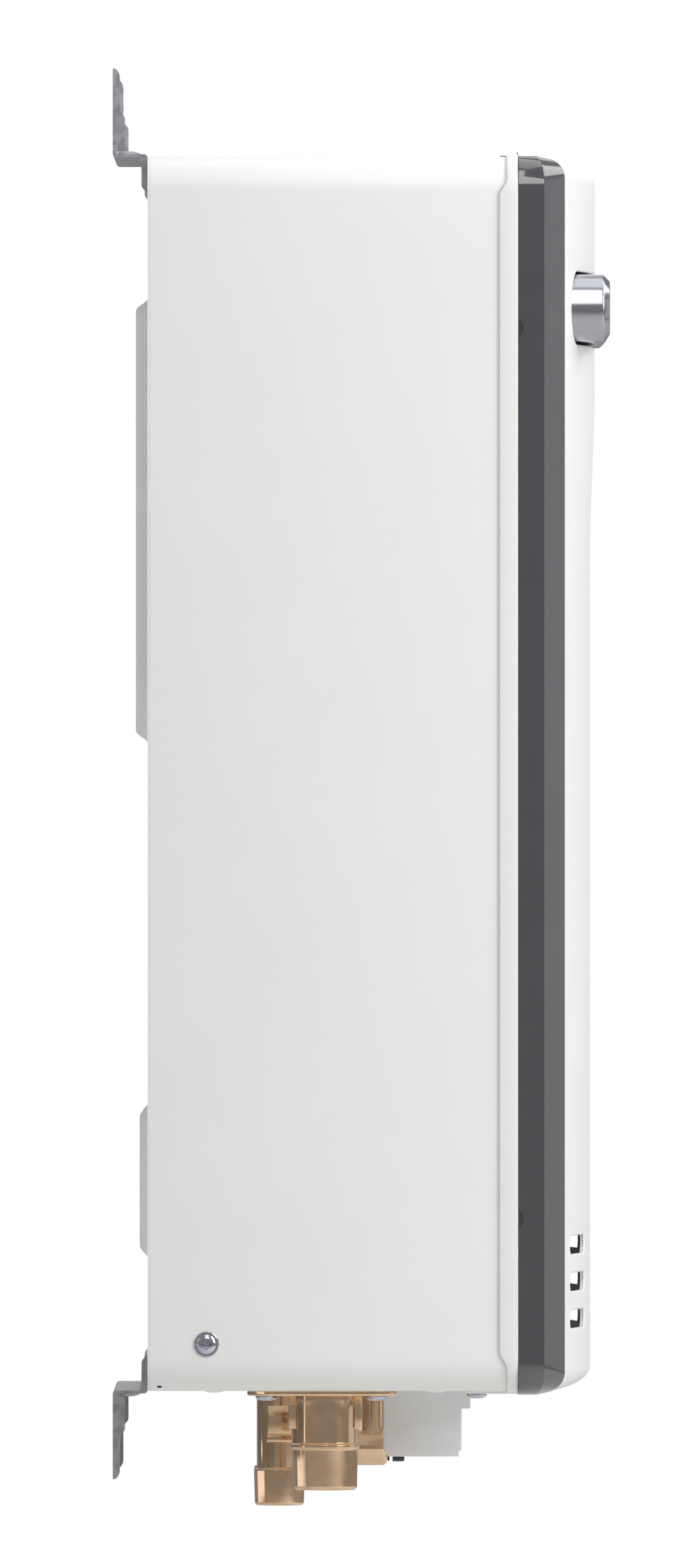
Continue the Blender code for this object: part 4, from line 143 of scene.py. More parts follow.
def slotOutline(centreX, centreZ, halfWidth, halfHeight, steps=16, across=12):
    # a stadium: two half circles of the half height joined by straight runs
    turn = np.linspace(-math.pi / 2, math.pi / 2, steps + 1)
    reach = halfWidth - halfHeight
    right = np.stack([reach + halfHeight * np.cos(turn), halfHeight * np.sin(turn)], -1)
    run = np.linspace(reach, -reach, across + 1)[1:-1]
    top = np.stack([run, np.full(len(run), halfHeight)], -1)
    outline = np.concatenate([right, top, -right, -top])
    return outline + (centreX, centreZ)


def block(low, high, edge, axis="Z", steps=3):
    # a bar whose outline shrinks at each end by a quarter circle:
    # inset = edge * (1 - sin), travel = edge * (1 - cos)
    low, high = np.asarray(low, float), np.asarray(high, float)
    first, second, travel = axes[axis]
    turn = np.linspace(0, math.pi / 2, steps + 1)
    insets = edge * (1 - np.sin(turn))
    lifts = edge * (1 - np.cos(turn))
    rows = [(inset, low[travel] + lift) for inset, lift in zip(insets, lifts)]
    rows += [(inset, high[travel] - lift) for inset, lift in zip(insets[::-1], lifts[::-1])]

    def outlineAt(inset):
        a, b = low[first] + inset, high[first] - inset
        c, d = low[second] + inset, high[second] - inset
        return softened([(a, c), (b, c), (b, d), (a, d)], edge * 0.9, steps, closed=True)

    return stacked(outlineAt, rows, axis)


def threaded(radius, depth, pitch, top, bottom, centre, steps=48, perTurn=6):
    # a thread as a wavy lining: radius = r - depth * (0.5 + 0.5 * cos of the turns since the start)
    rows = int((top - bottom) / pitch * perTurn)
    z = np.linspace(top, bottom, rows)[:, None]
    turn = np.linspace(0, math.tau, steps, endpoint=False)[None, :]
    r = radius - depth * (0.5 + 0.5 * np.cos(math.tau * (top - z) / pitch + turn))
    rounds = (centre[0] + r * np.cos(turn), centre[1] + r * np.sin(turn), np.broadcast_to(z, r.shape))
    return np.stack(rounds, -1)


def rimOf(grid):
    # the points round the border of a grid, in order
    return np.concatenate([grid[0], grid[1:, -1], grid[-1, -2::-1], grid[-2:0:-1, 0]])


def openSheet(points):
    # a grid with how it closes: its rows, its columns, and whether its end rings are capped
    return (points, False, False, False)


def closedRing(points):
    return (points, True, True, False)


def openTube(points):
    return (points, False, True, False)


def solid(points):
    return (points, False, True, True)


def asMesh(name, grids, sharp=32):
    # all grids as one mesh, doubles merged, faces outwards, and edges over the sharp angle kept crisp
    points, quads, caps, first = [], [], [], 0
    for grid, wrapRows, wrapColumns, capped in grids:
        rows, columns = grid.shape[:2]
        points.append(grid.reshape(-1, 3))
        quads += (gridQuads(rows, columns, wrapRows, wrapColumns) + first).tolist()
        if capped:
            ends = np.arange(columns) + first
            caps += [ends.tolist(), (ends + (rows - 1) * columns).tolist()]
        first += rows * columns
    mesh = bpy.data.meshes.new(name)
    mesh.from_pydata(np.concatenate(points).tolist(), [], quads + caps)
    return tidied(mesh, sharp)


def tidied(mesh, sharp):
    # doubles merged, slivers dissolved, faces turned outwards, smooth but for its sharp edges
    work = bmesh.new()
    work.from_mesh(mesh)
    bmesh.ops.remove_doubles(work, verts=work.verts, dist=2e-6)
    bmesh.ops.dissolve_degenerate(work, edges=work.edges, dist=1e-7)
    bmesh.ops.recalc_face_normals(work, faces=work.faces)
    work.to_mesh(mesh)
    work.free()
    mesh.shade_smooth()
    mesh.set_sharp_from_angle(angle=math.radians(sharp))
    return mesh


def joined(mesh, extra, sharp):
    # two meshes as one
    work = bmesh.new()
    for part in (mesh, extra):
        work.from_mesh(part)
    work.to_mesh(mesh)
    work.free()
    mesh.set_sharp_from_angle(angle=math.radians(sharp))
    return mesh


def placed(name, data):
    # an object for the data, in the scene
    thing = bpy.data.objects.new(name, data)
    bpy.context.scene.collection.objects.link(thing)
    return thing


def applied(holder, helpers, sharp):
    # the holder's mesh with its modifiers applied, and the helper objects taken away
    bpy.context.view_layer.update()
    result = bpy.data.meshes.new_from_object(holder.evaluated_get(bpy.context.evaluated_depsgraph_get()))
    for thing in (holder, *helpers):
        bpy.data.objects.remove(thing, do_unlink=True)
    result.shade_smooth()
    result.set_sharp_from_angle(angle=math.radians(sharp))
    return result


def carve(mesh, grids, sharp=32):
    # takes closed grids out of a mesh
    holder = placed("carved", mesh)
    cutters = []
    for k, grid in enumerate(grids):
        cutter = placed(f"cutter{k}", asMesh("cutter", [grid]))
        change = holder.modifiers.new("cut", "BOOLEAN")
        change.object, change.operation, change.solver = cutter, "DIFFERENCE", "EXACT"
        cutters.append(cutter)
    return applied(holder, cutters, sharp)


def softCopy(node, edge, sharp=30):
    # a merged copy of a CAD solid with its sharp edges rounded
    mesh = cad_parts[node].data.copy()
    work = bmesh.new()
    work.from_mesh(mesh)
    bmesh.ops.remove_doubles(work, verts=work.verts, dist=1e-6)
    bmesh.ops.dissolve_limit(work, angle_limit=math.radians(0.5), verts=work.verts, edges=work.edges)
    work.to_mesh(mesh)
    work.free()
    holder = placed("soft", mesh)
    bevel = holder.modifiers.new("bevel", "BEVEL")
    bevel.width, bevel.segments, bevel.limit_method = edge, 2, "ANGLE"
    bevel.angle_limit, bevel.harden_normals = math.radians(sharp), False
    return applied(holder, (), sharp + 5)


def addPiece(name, mesh, look, stands=(), body="heater", slot=None):
    # a piece that rides on a body and stands for CAD nodes; its slot argument is not used
    piece = placed(name, mesh)
    mesh.materials.clear()
    mesh.materials.append(looks[look])
    slot = slot or look
    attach(piece, body)
    if stands:
        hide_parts(*stands)
    return piece


# Finishes: procedural materials on object coordinates, with sRGB hex colours and patterns in millimetres

def linear(hexColour):
    # sRGB hex to linear red, green, blue and alpha
    parts = np.array([int(hexColour[i : i + 2], 16) / 255 for i in (0, 2, 4)])
    parts = np.where(parts <= 0.04045, parts / 12.92, ((parts + 0.055) / 1.055) ** 2.4)
    return (*parts.tolist(), 1.0)


def addNode(tree, kind, settings=(), links=()):
    # adds a node; a setting or link names an input, or else a property of the node
    node = tree.nodes.new(kind)
    for name, value in dict(settings).items():
        if isinstance(name, int) or name in node.inputs:
            node.inputs[name].default_value = value
        else:
            setattr(node, name, value)
    for name, source in dict(links).items():
        tree.links.new(source, node.inputs[name])
    return node


def patternValue(tree, place, size, detail=3.0, stretch=None, crystals=False):
    # a value from 0 to 1: noise of that size in mm, drawn out along the axes by stretch, or crystals
    if stretch:
        place = addNode(tree, "ShaderNodeMapping", {"Scale": stretch}, {"Vector": place}).outputs["Vector"]
    scale = 1 / (size * mm)
    if crystals:
        cells = addNode(tree, "ShaderNodeTexVoronoi", {"Scale": scale}, {"Vector": place})
        colour = {"Color": cells.outputs["Color"]}
        return addNode(tree, "ShaderNodeSeparateColor", {}, colour).outputs["Red"]
    settings = {"Scale": scale, "Detail": detail, "Roughness": 0.55}
    return addNode(tree, "ShaderNodeTexNoise", settings, {"Vector": place}).outputs["Fac"]


def finish(name, base, tint, gloss=None, relief=None, **settings):
    # a Principled material: tint is (pattern, low, high) for its colour, gloss (pattern, low, high) for its
    # roughness, relief (pattern, depth in mm, strength) for its bump; patternValue says what a pattern holds
    look = bpy.data.materials.new(name)
    look.use_nodes = True
    tree = look.node_tree
    shader = tree.nodes["Principled BSDF"]
    look.diffuse_color = shader.inputs["Base Color"].default_value = linear(base)
    for key, value in settings.items():
        shader.inputs[key.replace("_", " ")].default_value = value
    place = addNode(tree, "ShaderNodeTexCoord").outputs["Object"]
    middle = {"From Min": 0.3, "From Max": 0.7}  # the part of a pattern's range that is stretched to the ends
    pattern, low, high = tint
    amount = {"Value": patternValue(tree, place, *pattern)}
    share = addNode(tree, "ShaderNodeMapRange", middle, amount).outputs["Result"]
    colours = {"data_type": "RGBA", 6: linear(low), 7: linear(high)}
    mix = addNode(tree, "ShaderNodeMix", colours, {0: share})
    tree.links.new(mix.outputs[2], shader.inputs["Base Color"])
    if gloss:
        pattern, low, high = gloss
        amount = {"Value": patternValue(tree, place, *pattern)}
        span = addNode(tree, "ShaderNodeMapRange", {**middle, "To Min": low, "To Max": high}, amount)
        tree.links.new(span.outputs["Result"], shader.inputs["Roughness"])
    if relief:
        pattern, depth, strength = relief
        height = {"Height": patternValue(tree, place, *pattern)}
        bump = addNode(tree, "ShaderNodeBump", {"Strength": strength, "Distance": depth * mm}, height)
        tree.links.new(bump.outputs["Normal"], shader.inputs["Normal"])
    return look


streaks = (0.5, 2, (0.008, 1.0, 1.0))  # the brushing of rolled sheet: 0.5 mm wide, 60 mm long
spangle = (5, 0, None, True)  # the crystals of hot dipped zinc: 5 mm
looks = {
    # polyester powder baked on steel sheet: satin white with a faint orange peel of about 1.6 mm
    "white_paint": finish(
        "white_powder_coat", "F3F3F2", ((60,), "F3F3F2", "F5F5F4"), ((9,), 0.4, 0.45),
        ((1.6, 2), 0.02, 0.25), Roughness=0.42, Coat_Weight=0.25, Coat_Roughness=0.22,
    ),
    # charcoal ABS from a polished mould: deep gloss with slow waves and faint wiping clouds
    "dark_trim": finish(
        "charcoal_polished_abs", "414246", ((45,), "3E3F43", "444549"), ((20,), 0.2, 0.26),
        ((30, 1), 0.04, 0.12), Roughness=0.22, Coat_Weight=1.0, Coat_Roughness=0.04, Coat_IOR=1.75,
    ),
    # hot dip galvanised sheet: crystals that differ in grey and in gloss, under a fine bloom
    "zinc_sheet": finish(
        "galvanised_sheet", "AAABAF", (spangle, "A2A3A7", "AEAFB3"), (spangle, 0.3, 0.42),
        ((0.9, 2), 0.02, 0.3), Metallic=0.65, Roughness=0.36,
    ),
    # bright zinc with a cool passivated tint on small steel parts
    "zinc_plate": finish(
        "bright_zinc_plate", "C6C7D4", ((2.5,), "BBBCCB", "D2D2DC"), ((2,), 0.1, 0.18),
        Metallic=1.0, Roughness=0.2,
    ),
    # rolled stainless sheet, brushed along its length
    "stainless": finish(
        "satin_stainless", "B2B4BB", (streaks, "ACAEB5", "B9BBC2"), (streaks, 0.16, 0.22),
        (streaks, 0.01, 0.08), Metallic=1.0, Roughness=0.2,
    ),
    # tumbled brass casting, faintly tarnished in patches of about 12 mm
    "brass": finish(
        "tumbled_brass", "E8C5A2", ((12,), "E0BD9A", "EDCDAB"), ((8,), 0.08, 0.15), ((5, 1), 0.03, 0.2),
        Metallic=1.0, Roughness=0.22,
    ),
    # drawn copper tube and sheet with heat tint in clouds of about 25 mm
    "copper": finish(
        "drawn_copper", "C07850", ((25,), "A9623F", "CE8A62"), ((15, 1), 0.3, 0.38),
        Metallic=1.0, Roughness=0.3,
    ),
    # die cast aluminium with a blasted skin of 0.6 mm grit
    "cast_aluminium": finish(
        "die_cast_aluminium", "A6A8AB", ((18,), "9DA0A3", "B0B1B4"), None, ((0.6, 3), 0.04, 0.5),
        Metallic=1.0, Roughness=0.5,
    ),
    # glass filled black nylon with a fine spark-eroded grain
    "black_plastic": finish(
        "black_filled_nylon", "1B1C1E", ((6,), "18191B", "212224"), None, ((0.5, 2), 0.03, 0.4),
        Roughness=0.5,
    ),
    # natural polypropylene: milky, lets some light through and scatters it
    "pale_plastic": finish(
        "milky_polypropylene", "F2F3F4", ((14,), "F0F1F2", "F5F5F6"), ((1.5,), 0.33, 0.45),
        Roughness=0.4, IOR=1.49, Transmission_Weight=0.05, Subsurface_Weight=0.2, Subsurface_Scale=0.003,
    ),
    # nitrile and foam rubber, dull black with a dusty bloom
    "black_rubber": finish(
        "black_rubber", "1A1A1A", ((5,), "161616", "242424"), None, ((0.4, 2), 0.03, 0.4), Roughness=0.72,
    ),
    # green solder mask over glass epoxy, with darker tracks under it
    "board_green": finish(
        "green_solder_mask", "1E5B3A", ((3, 1, (1.0, 1.0, 0.25)), "17492F", "286B46"),
        Roughness=0.35, Coat_Weight=0.4, Coat_Roughness=0.15,
    ),
    # fired alumina: off-white, matt, with small kiln specks
    "ceramic": finish("fired_alumina", "E6E0D2", ((1.2,), "DDD6C6", "ECE7DB"), Roughness=0.6),
}
nodeLooks = {
    "stainless": "flue_box burner_box burner_bars gas_pipe exhaust_guard",
    "copper": "heat_exchanger_jacket heat_exchanger_core jacket_coil cold_water_pipe hot_water_pipe "
    "bypass_pipe",
    "brass": "gas_manifold flow_sensor_body water_valve_body water_valve_spindle outlet_thermistor",
    "cast_aluminium": "gas_valve_body blower_housing",
    "black_plastic": "main_valve_coil modulating_coil blower_motor igniter overheat_switch flow_turbine "
    "servo_motor terminal_block filter_plug",
    "black_rubber": "cover_gasket filter_o_ring",
    "zinc_plate": "blower_impeller blower_shaft main_valve_plunger modulating_plunger filter_strainer",
    "board_green": "control_board",
    "ceramic": "ignition_electrode flame_rod frost_heater",
    "pale_plastic": "control_tray terminal_cover",
    "white_paint": "back_panel case_wrap cover_skirt cover_panel",
    "dark_trim": "trim_frame",
    "zinc_sheet": "upper_bracket lower_bracket",
}
for lookName, names in nodeLooks.items():
    for nodeName in names.split():
        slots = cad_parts[nodeName].data.materials
        slots.clear()
        slots.append(looks[lookName])
print("finishes made")


# Case: a wrapped sheet, its floor and its back; every rise below counts from the case's middle height

panelLow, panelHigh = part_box("back_panel")
caseHalf, caseTop, caseBottom = panelHigh.x, panelHigh.z, panelLow.z
midZ = (caseTop + caseBottom) / 2
gasCentre, coldCentre, hotCentre = (-100 * mm, -115.8 * mm), (40 * mm, -90.4 * mm), (115 * mm, -90.4 * mm)

caseShell = {
    "corner": 18.5 * mm,
    "leastCorner": 1.5 * mm,
    "sheet": 1.0 * mm,
    "flange": 12 * mm,
    "edge": 0.9 * mm,
    "seam": 0.05 * mm,  # gap between the wrap's back edge and the rear sheet
    "holes": ((gasCentre, 12.3 * mm), (coldCentre, 12.7 * mm), (hotCentre, 12.7 * mm)),
    "dimpleIn": 25.5 * mm,
    "dimpleYs": (-55.2 * mm, -176.2 * mm),
    "dimpleSize": (5.5 * mm, 1.3 * mm),  # radius and drop
    "drainSlot": (-25.7 * mm, -333.2 * mm, 1.3 * mm, 0.55 * mm),  # y, rise, half length, half height
}
backSheet = {
    "bulgeIn": 58 * mm,
    "bulgeCorner": 16 * mm,
    "slope": 7 * mm,
    # low rise, high rise and depth of each
    "bulges": ((16.4 * mm, 260 * mm, 6.8 * mm), (-264.9 * mm, -179.8 * mm, 4.7 * mm)),
}
deepestBulge = max(depth for low, high, depth in backSheet["bulges"])


def caseOutline(inset):
    # the case's front outline drawn in by the inset
    corner = max(caseShell["corner"] - inset, caseShell["leastCorner"])
    return boxOutline(caseHalf - inset, caseBottom + inset, caseTop - inset, corner)


def makeCase():
    # a folded sheet section carried round the case, pipe holes in its floor and a drain slot in its side
    shell = caseShell
    front, sheet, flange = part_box("case_wrap")[0].y, shell["sheet"], shell["flange"]
    back = panelHigh.y - deepestBulge - sheet - shell["seam"]
    lining = front + sheet
    corners = [(0, back), (0, front), (flange, front), (flange, lining), (sheet, lining), (sheet, back)]
    amounts = [0.15 * mm, shell["edge"], 0.2 * mm, 0.2 * mm, 0.2 * mm, 0.2 * mm]
    rows = softened(corners, amounts, 4, closed=True)
    mesh = asMesh("case_shell", [closedRing(stacked(caseOutline, rows, "Y"))])
    y, rise, halfLong, halfTall = shell["drainSlot"]
    drain = slotOutline(y, midZ + rise, halfLong, halfTall, 8, 3)
    through = (-caseHalf - 2 * mm, -caseHalf + shell["corner"])
    holes = [solid(np.stack([carried(drain, x, "X") for x in through]))]
    for centre, radius in shell["holes"]:
        rows = [(radius, caseBottom - 4 * mm), (radius, caseBottom + 4 * mm)]
        holes.append(solid(lathe(rows, centre, "Z", 48)))
    return carve(mesh, holes)


def makeDimples():
    # shallow bowls pressed down through the floor: radius = spread * sin, depth = drop * cos
    shell = caseShell
    spread, drop = shell["dimpleSize"]
    rim = caseBottom + 0.2 * mm
    turn = np.linspace(math.pi / 2, 0.05, 10)
    bowl = np.stack([spread * np.sin(turn), rim - drop * np.cos(turn)], -1)
    rows = np.concatenate([[(spread * 0.05, rim)], bowl])
    places = [(side * (caseHalf - shell["dimpleIn"]), y) for side in (-1, 1) for y in shell["dimpleYs"]]
    return asMesh("dimples", [solid(lathe(rows, place, "Z", 32)) for place in places])


def makeBack():
    # y = sheet back + depth * smooth step of the distance inside each rounded bulge
    sheet = backSheet
    slope, bulgeCorner = sheet["slope"], sheet["bulgeCorner"]
    half = caseHalf - sheet["bulgeIn"]
    fine = np.linspace(-slope, slope, 11) + slope / 2
    columns = [np.linspace(-1, 1, 41) * caseHalf, half - fine, fine - half]
    columns = np.unique(np.round(np.concatenate(columns), 6))
    corner = caseShell["corner"]
    turn = np.linspace(0, math.pi / 2, 12)
    ends = corner * (1 - np.cos(turn))
    levels = [caseBottom + ends, caseTop - ends, midZ + np.linspace(-0.31, 0.31, 50)]
    for low, high, depth in sheet["bulges"]:
        levels += [midZ + low + fine, midZ + high - fine]
    levels = np.unique(np.round(np.concatenate(levels), 6))
    into = np.clip(np.minimum(levels - caseBottom, caseTop - levels) / corner, 0, 1)
    width = caseHalf - corner * (1 - np.sqrt(1 - (1 - into) ** 2))
    x = columns[None, :] * (width / caseHalf)[:, None]
    z = np.broadcast_to(levels[:, None], x.shape)
    y = np.full(x.shape, panelHigh.y - deepestBulge)
    for low, high, depth in sheet["bulges"]:
        centre, reach = midZ + (low + high) / 2, (high - low) / 2
        dx, dz = np.abs(x) - half + bulgeCorner, np.abs(z - centre) - reach + bulgeCorner
        outside = np.hypot(np.maximum(dx, 0), np.maximum(dz, 0)) + np.minimum(np.maximum(dx, dz), 0)
        y = y + depth * smoothStep((bulgeCorner - outside) / slope)
    back = np.stack([x, y, z], -1)
    front = back - (0, caseShell["sheet"], 0)
    rim = np.stack([rimOf(back), rimOf(front)])
    return asMesh("rear_sheet", [openSheet(back), openSheet(front), openTube(rim)])


addPiece("case_shell", makeCase(), "white_paint", ["case_wrap"])
addPiece("floor_dimples", makeDimples(), "white_paint")
addPiece("rear_sheet", makeBack(), "white_paint", ["back_panel"])
print("case made")


# Front cover: skirt with its lugs and buttons, glossy trim, and the domed front

coverSkirt = {
    "proud": 1.2 * mm,
    "sheet": 0.8 * mm,
    "flange": 22 * mm,
    "frontY": -220.6 * mm,
    "widths": (6 * mm, 10 * mm),  # at the corners and along the sides
    "ease": (12.5 * mm, 21.5 * mm),
    "edge": 0.7 * mm,
}


def makeSkirt():
    # rim depth = corner width + (side width - corner width) * smooth step of the distance from the ends
    skirt = coverSkirt
    narrow, wide = skirt["widths"]
    easeLow, easeHigh = skirt["ease"]
    proud, sheet, frontY, flange = skirt["proud"], skirt["sheet"], skirt["frontY"], skirt["flange"]
    reach = caseTop - midZ
    caseCorner = caseShell["corner"]
    fine = np.linspace(0, 1, 14) * (easeHigh - caseCorner) / (2 * (reach - caseCorner))
    shares = np.unique(np.concatenate([fine[1:], np.linspace(0.05, 0.95, 9), 1 - fine[1:]]))

    def outlineAt(inset):
        out = proud - inset
        corner = max(caseCorner + out, caseShell["leastCorner"])
        return boxOutline(caseHalf + out, caseBottom - out, caseTop + out, corner, levels=shares)

    outline = outlineAt(0)
    onSide = np.abs(outline[:, 0]) > caseHalf - caseCorner
    into = (reach - np.abs(outline[:, 1] - midZ) - easeLow) / (easeHigh - easeLow)
    depth = narrow + (wide - narrow) * np.where(onSide, smoothStep(into), 0)
    # corners of the section: (inset, y, share of the rim's depth)
    corners = [
        (0, frontY, 1), (0, frontY, 0), (flange, frontY, 0),
        (flange, frontY + sheet, 0), (sheet, frontY + sheet, 0), (sheet, frontY, 1),
    ]
    amounts = [0.25 * mm, skirt["edge"], 0.1 * mm, 0.1 * mm, 0.2 * mm, 0.25 * mm]
    scaled = [(inset, y + share * wide, share * wide) for inset, y, share in corners]
    path = softened(scaled, amounts, 4, closed=True)
    rows = [carried(outlineAt(inset), y - along + along / wide * depth, "Y") for inset, y, along in path]
    return asMesh("skirt", [closedRing(np.stack(rows))])


coverLugs = {
    "x": 130 * mm,
    "half": 11 * mm,
    "backY": -192.3 * mm,
    "screwY": -198.4 * mm,
    "slot": 2.6 * mm,
    "sheet": 1.6 * mm,
    "corner": 3 * mm,
    "below": 0.3 * mm,
}


def makeLugs():
    # flat tongues under the case, each with an open slot for its screw
    lug = coverLugs
    half, slot, seat, backY, corner = lug["half"], lug["slot"], lug["screwY"], lug["backY"], lug["corner"]
    frontY = coverSkirt["frontY"] + 0.4 * mm
    top = caseBottom - lug["below"]
    grids = []
    for side in (-1, 1):
        x = side * lug["x"]
        turn = np.linspace(math.pi, 0, 13)
        arc = np.stack([x + slot * np.cos(turn), seat - slot * np.sin(turn)], -1)
        corners = [
            (x + slot, backY), (x + half, backY), (x + half, frontY),
            (x - half, frontY), (x - half, backY), (x - slot, backY),
        ]
        outline = np.concatenate([softened(corners, [0, corner, 0, 0, corner, 0], 5), arc])
        grids.append(solid(np.stack([carried(outline, z, "Z") for z in (top, top - lug["sheet"])])))
    return asMesh("lugs", grids)


coverButtons = {
    "x": 96 * mm,
    "y": -212.8 * mm,
    "half": (4 * mm, 1.75 * mm),
    "root": 0.5 * mm,
    "above": 0.55 * mm,
    "below": 1.1 * mm,
    "edge": 0.35 * mm,
}


def makeButtons():
    # four rubber buttons that cushion the skirt, as blocks with quarter round edges
    button = coverButtons
    halfX, halfY = button["half"]
    root, proud = button["root"], coverSkirt["proud"]
    upper = (caseTop + root, caseTop + proud + button["above"])
    lower = (caseBottom - proud - button["below"], caseBottom - root)
    grids = []
    for side in (-1, 1):
        x, y = side * button["x"], button["y"]
        for low, high in (upper, lower):
            ends = ((x - halfX, y - halfY, low), (x + halfX, y + halfY, high))
            grids.append(solid(block(*ends, button["edge"])))
    return asMesh("buttons", grids)


addPiece("cover_buttons", makeButtons(), "black_rubber", body="front_cover")
addPiece("cover_rim", makeSkirt(), "white_paint", ["cover_skirt"], "front_cover")
addPiece("cover_lugs", makeLugs(), "white_paint", body="front_cover")

trimFrame = {
    "arch": (4.9 * mm, 1.9 * mm),  # bow of the top end and of the bottom end
    "corner": 17.5 * mm,
    "midY": -234.8 * mm,
    "lipSide": 12.3 * mm,
    "lipTop": 2.0 * mm,
    "lipLow": 1.4 * mm,
    "lipCorner": 11 * mm,
    "lipWidth": 0.8 * mm,
    "edge": 1.1 * mm,
    "wall": 2.2 * mm,
    "notch": (242 * mm, 5.3 * mm, 2.7 * mm),  # rise, half length, depth
    "bend": 11.5 * mm,
    "foldShare": 0.36,  # how much of the bend the fold between side and chamfer takes
}
archTop, archLow = trimFrame["arch"]
trimLow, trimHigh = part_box("trim_frame")
trimHalf, trimBack, trimFront = trimHigh.x, trimHigh.y, trimLow.y
trimTop, trimBottom = trimHigh.z - archTop, trimLow.z + archLow


def archShift(across, toward):
    # how far a level line bows out: (1 - across^2) * (top arch * toward^8 - low arch * (1 - toward)^8)
    return (1 - across**2) * (archTop * toward**8 - archLow * (1 - toward) ** 8)


def setBack(x, z):
    # the front rim falls back toward its top and bottom as a quarter circle: bend * (1 - sqrt(1 - t^2))
    trim = trimFrame
    toward = np.clip((z - trimBottom) / (trimTop - trimBottom), 0, 1)
    level = z - archShift(x / trimHalf, toward)
    near = np.minimum(trimTop - trim["lipTop"] - level, level - trimBottom - trim["lipLow"])
    t = np.clip(1 - near / trim["bend"], 0, 0.998)
    return trim["bend"] * (1 - np.sqrt(1 - t**2))


def makeTrim():
    # section rows of (side inset, travel, top inset, low inset, corner, notched), carried round the cover
    trim = trimFrame
    notchRise, notchHalf, notchDepth = trim["notch"]
    corner, wall, lip, midY = trim["corner"], trim["wall"], trim["lipWidth"], trim["midY"]
    lipSide, lipTop, lipLow, lipCorner = trim["lipSide"], trim["lipTop"], trim["lipLow"], trim["lipCorner"]
    span = trimTop - trimBottom - 2 * corner
    near = np.linspace(-notchHalf, notchHalf, 17)
    levels = [(midZ + rise + near - trimBottom - corner) / span for rise in (-notchRise, notchRise)]
    shares = np.unique(np.concatenate([*levels, np.linspace(0.02, 0.98, 13)]))
    corners = [
        (0, trimBack, 0, 0, corner, 1),
        (0, midY, 0, 0, corner, 0),
        (lipSide, trimFront, lipTop, lipLow, lipCorner, 0),
        (lipSide + lip, trimFront, lipTop + lip, lipLow + lip, lipCorner - lip, 0),
        (lipSide + lip, trimBack, lipTop + lip, lipLow + lip, lipCorner - lip, 0),
        (wall + 0.1 * mm, trimBack, 1.2 * mm, 1.2 * mm, corner - wall, 0),
        (wall, trimBack, 1.1 * mm, 1.1 * mm, corner - wall, 1),
    ]
    amounts = [0.15 * mm, trim["edge"], 0.5 * mm, 0.2 * mm, 0.1 * mm, 0.0, 0.0]
    radius = (notchHalf**2 + notchDepth**2) / (2 * notchDepth)
    rows = []
    for side, y, top, low, bend, notched in softened(corners, amounts, 5, closed=True):
        ends = (trimBottom + low, trimTop - top)
        outline = boxOutline(trimHalf - side, *ends, bend, archTop, archLow, shares)
        x, z = outline[:, 0], outline[:, 1]
        rise = np.abs(np.abs(z - midZ) - notchRise)
        bite = np.sqrt(np.maximum(radius**2 - rise**2, 0)) - radius + notchDepth
        onWall = (rise <= notchHalf) & (np.abs(x) > trimHalf - 2 * wall)
        bite = np.where(onWall, np.maximum(bite, 0), 0)
        share = np.interp(y, (trimFront, midY, trimBack), (1, trim["foldShare"], 0))
        rows.append(carried(outline, y - notched * bite + share * setBack(x, z), "Y"))
    return asMesh("trim", [closedRing(np.stack(rows))], sharp=38)


addPiece("trim_surround", makeTrim(), "dark_trim", ["trim_frame"], "front_cover")

outletTube = {
    "half": 144 * mm,
    "tall": 18.3 * mm,  # half height
    "rise": 253.9 * mm,
    "clear": 1.6 * mm,  # gap to the dome's opening
    "sheet": 1.5 * mm,
    "lip": ((0, 3.5), (3.7, 0.0), (4.7, 0.0), (4.7, 1.2), (1.5, 4.4)),  # (inset, set back) in millimetres
    "flange": (7 * mm, 30 * mm, 1.5 * mm),  # how far it stands out at the ends, half height, sheet
}
coverDome = {
    "edge": 12.6 * mm,
    "riseTop": 17.5 * mm,
    "riseLow": 15.0 * mm,
    "easeRise": (120 * mm, 210 * mm),
    "sheet": 1.4 * mm,
    "roll": 1.0 * mm,
    "rollShares": (0.08, 0.3, 0.62, 1.0, 1.8),
    "gap": 0.3 * mm,
    "slotXs": (82 * mm, 147.5 * mm),
    "slotZs": (-256.6 * mm, -276.8 * mm, -297.0 * mm),
    "slotHalf": 5 * mm,
    "spacing": 4.2 * mm,
}


def domeOpenings():
    # the outlet and the air slots as (x, z, half width, half height, steps round an end, steps across)
    tube, dome = outletTube, coverDome
    clear, (nearX, farX) = tube["clear"], dome["slotXs"]
    openings = [(0.0, midZ + tube["rise"], tube["half"] + clear, tube["tall"] + clear, 30, 60)]
    for side in (-1, 1):
        for rise in dome["slotZs"]:
            x, half = side * (nearX + farX) / 2, (farX - nearX) / 2
            openings.append((x, midZ + rise, half, dome["slotHalf"], 12, 22))
    return openings


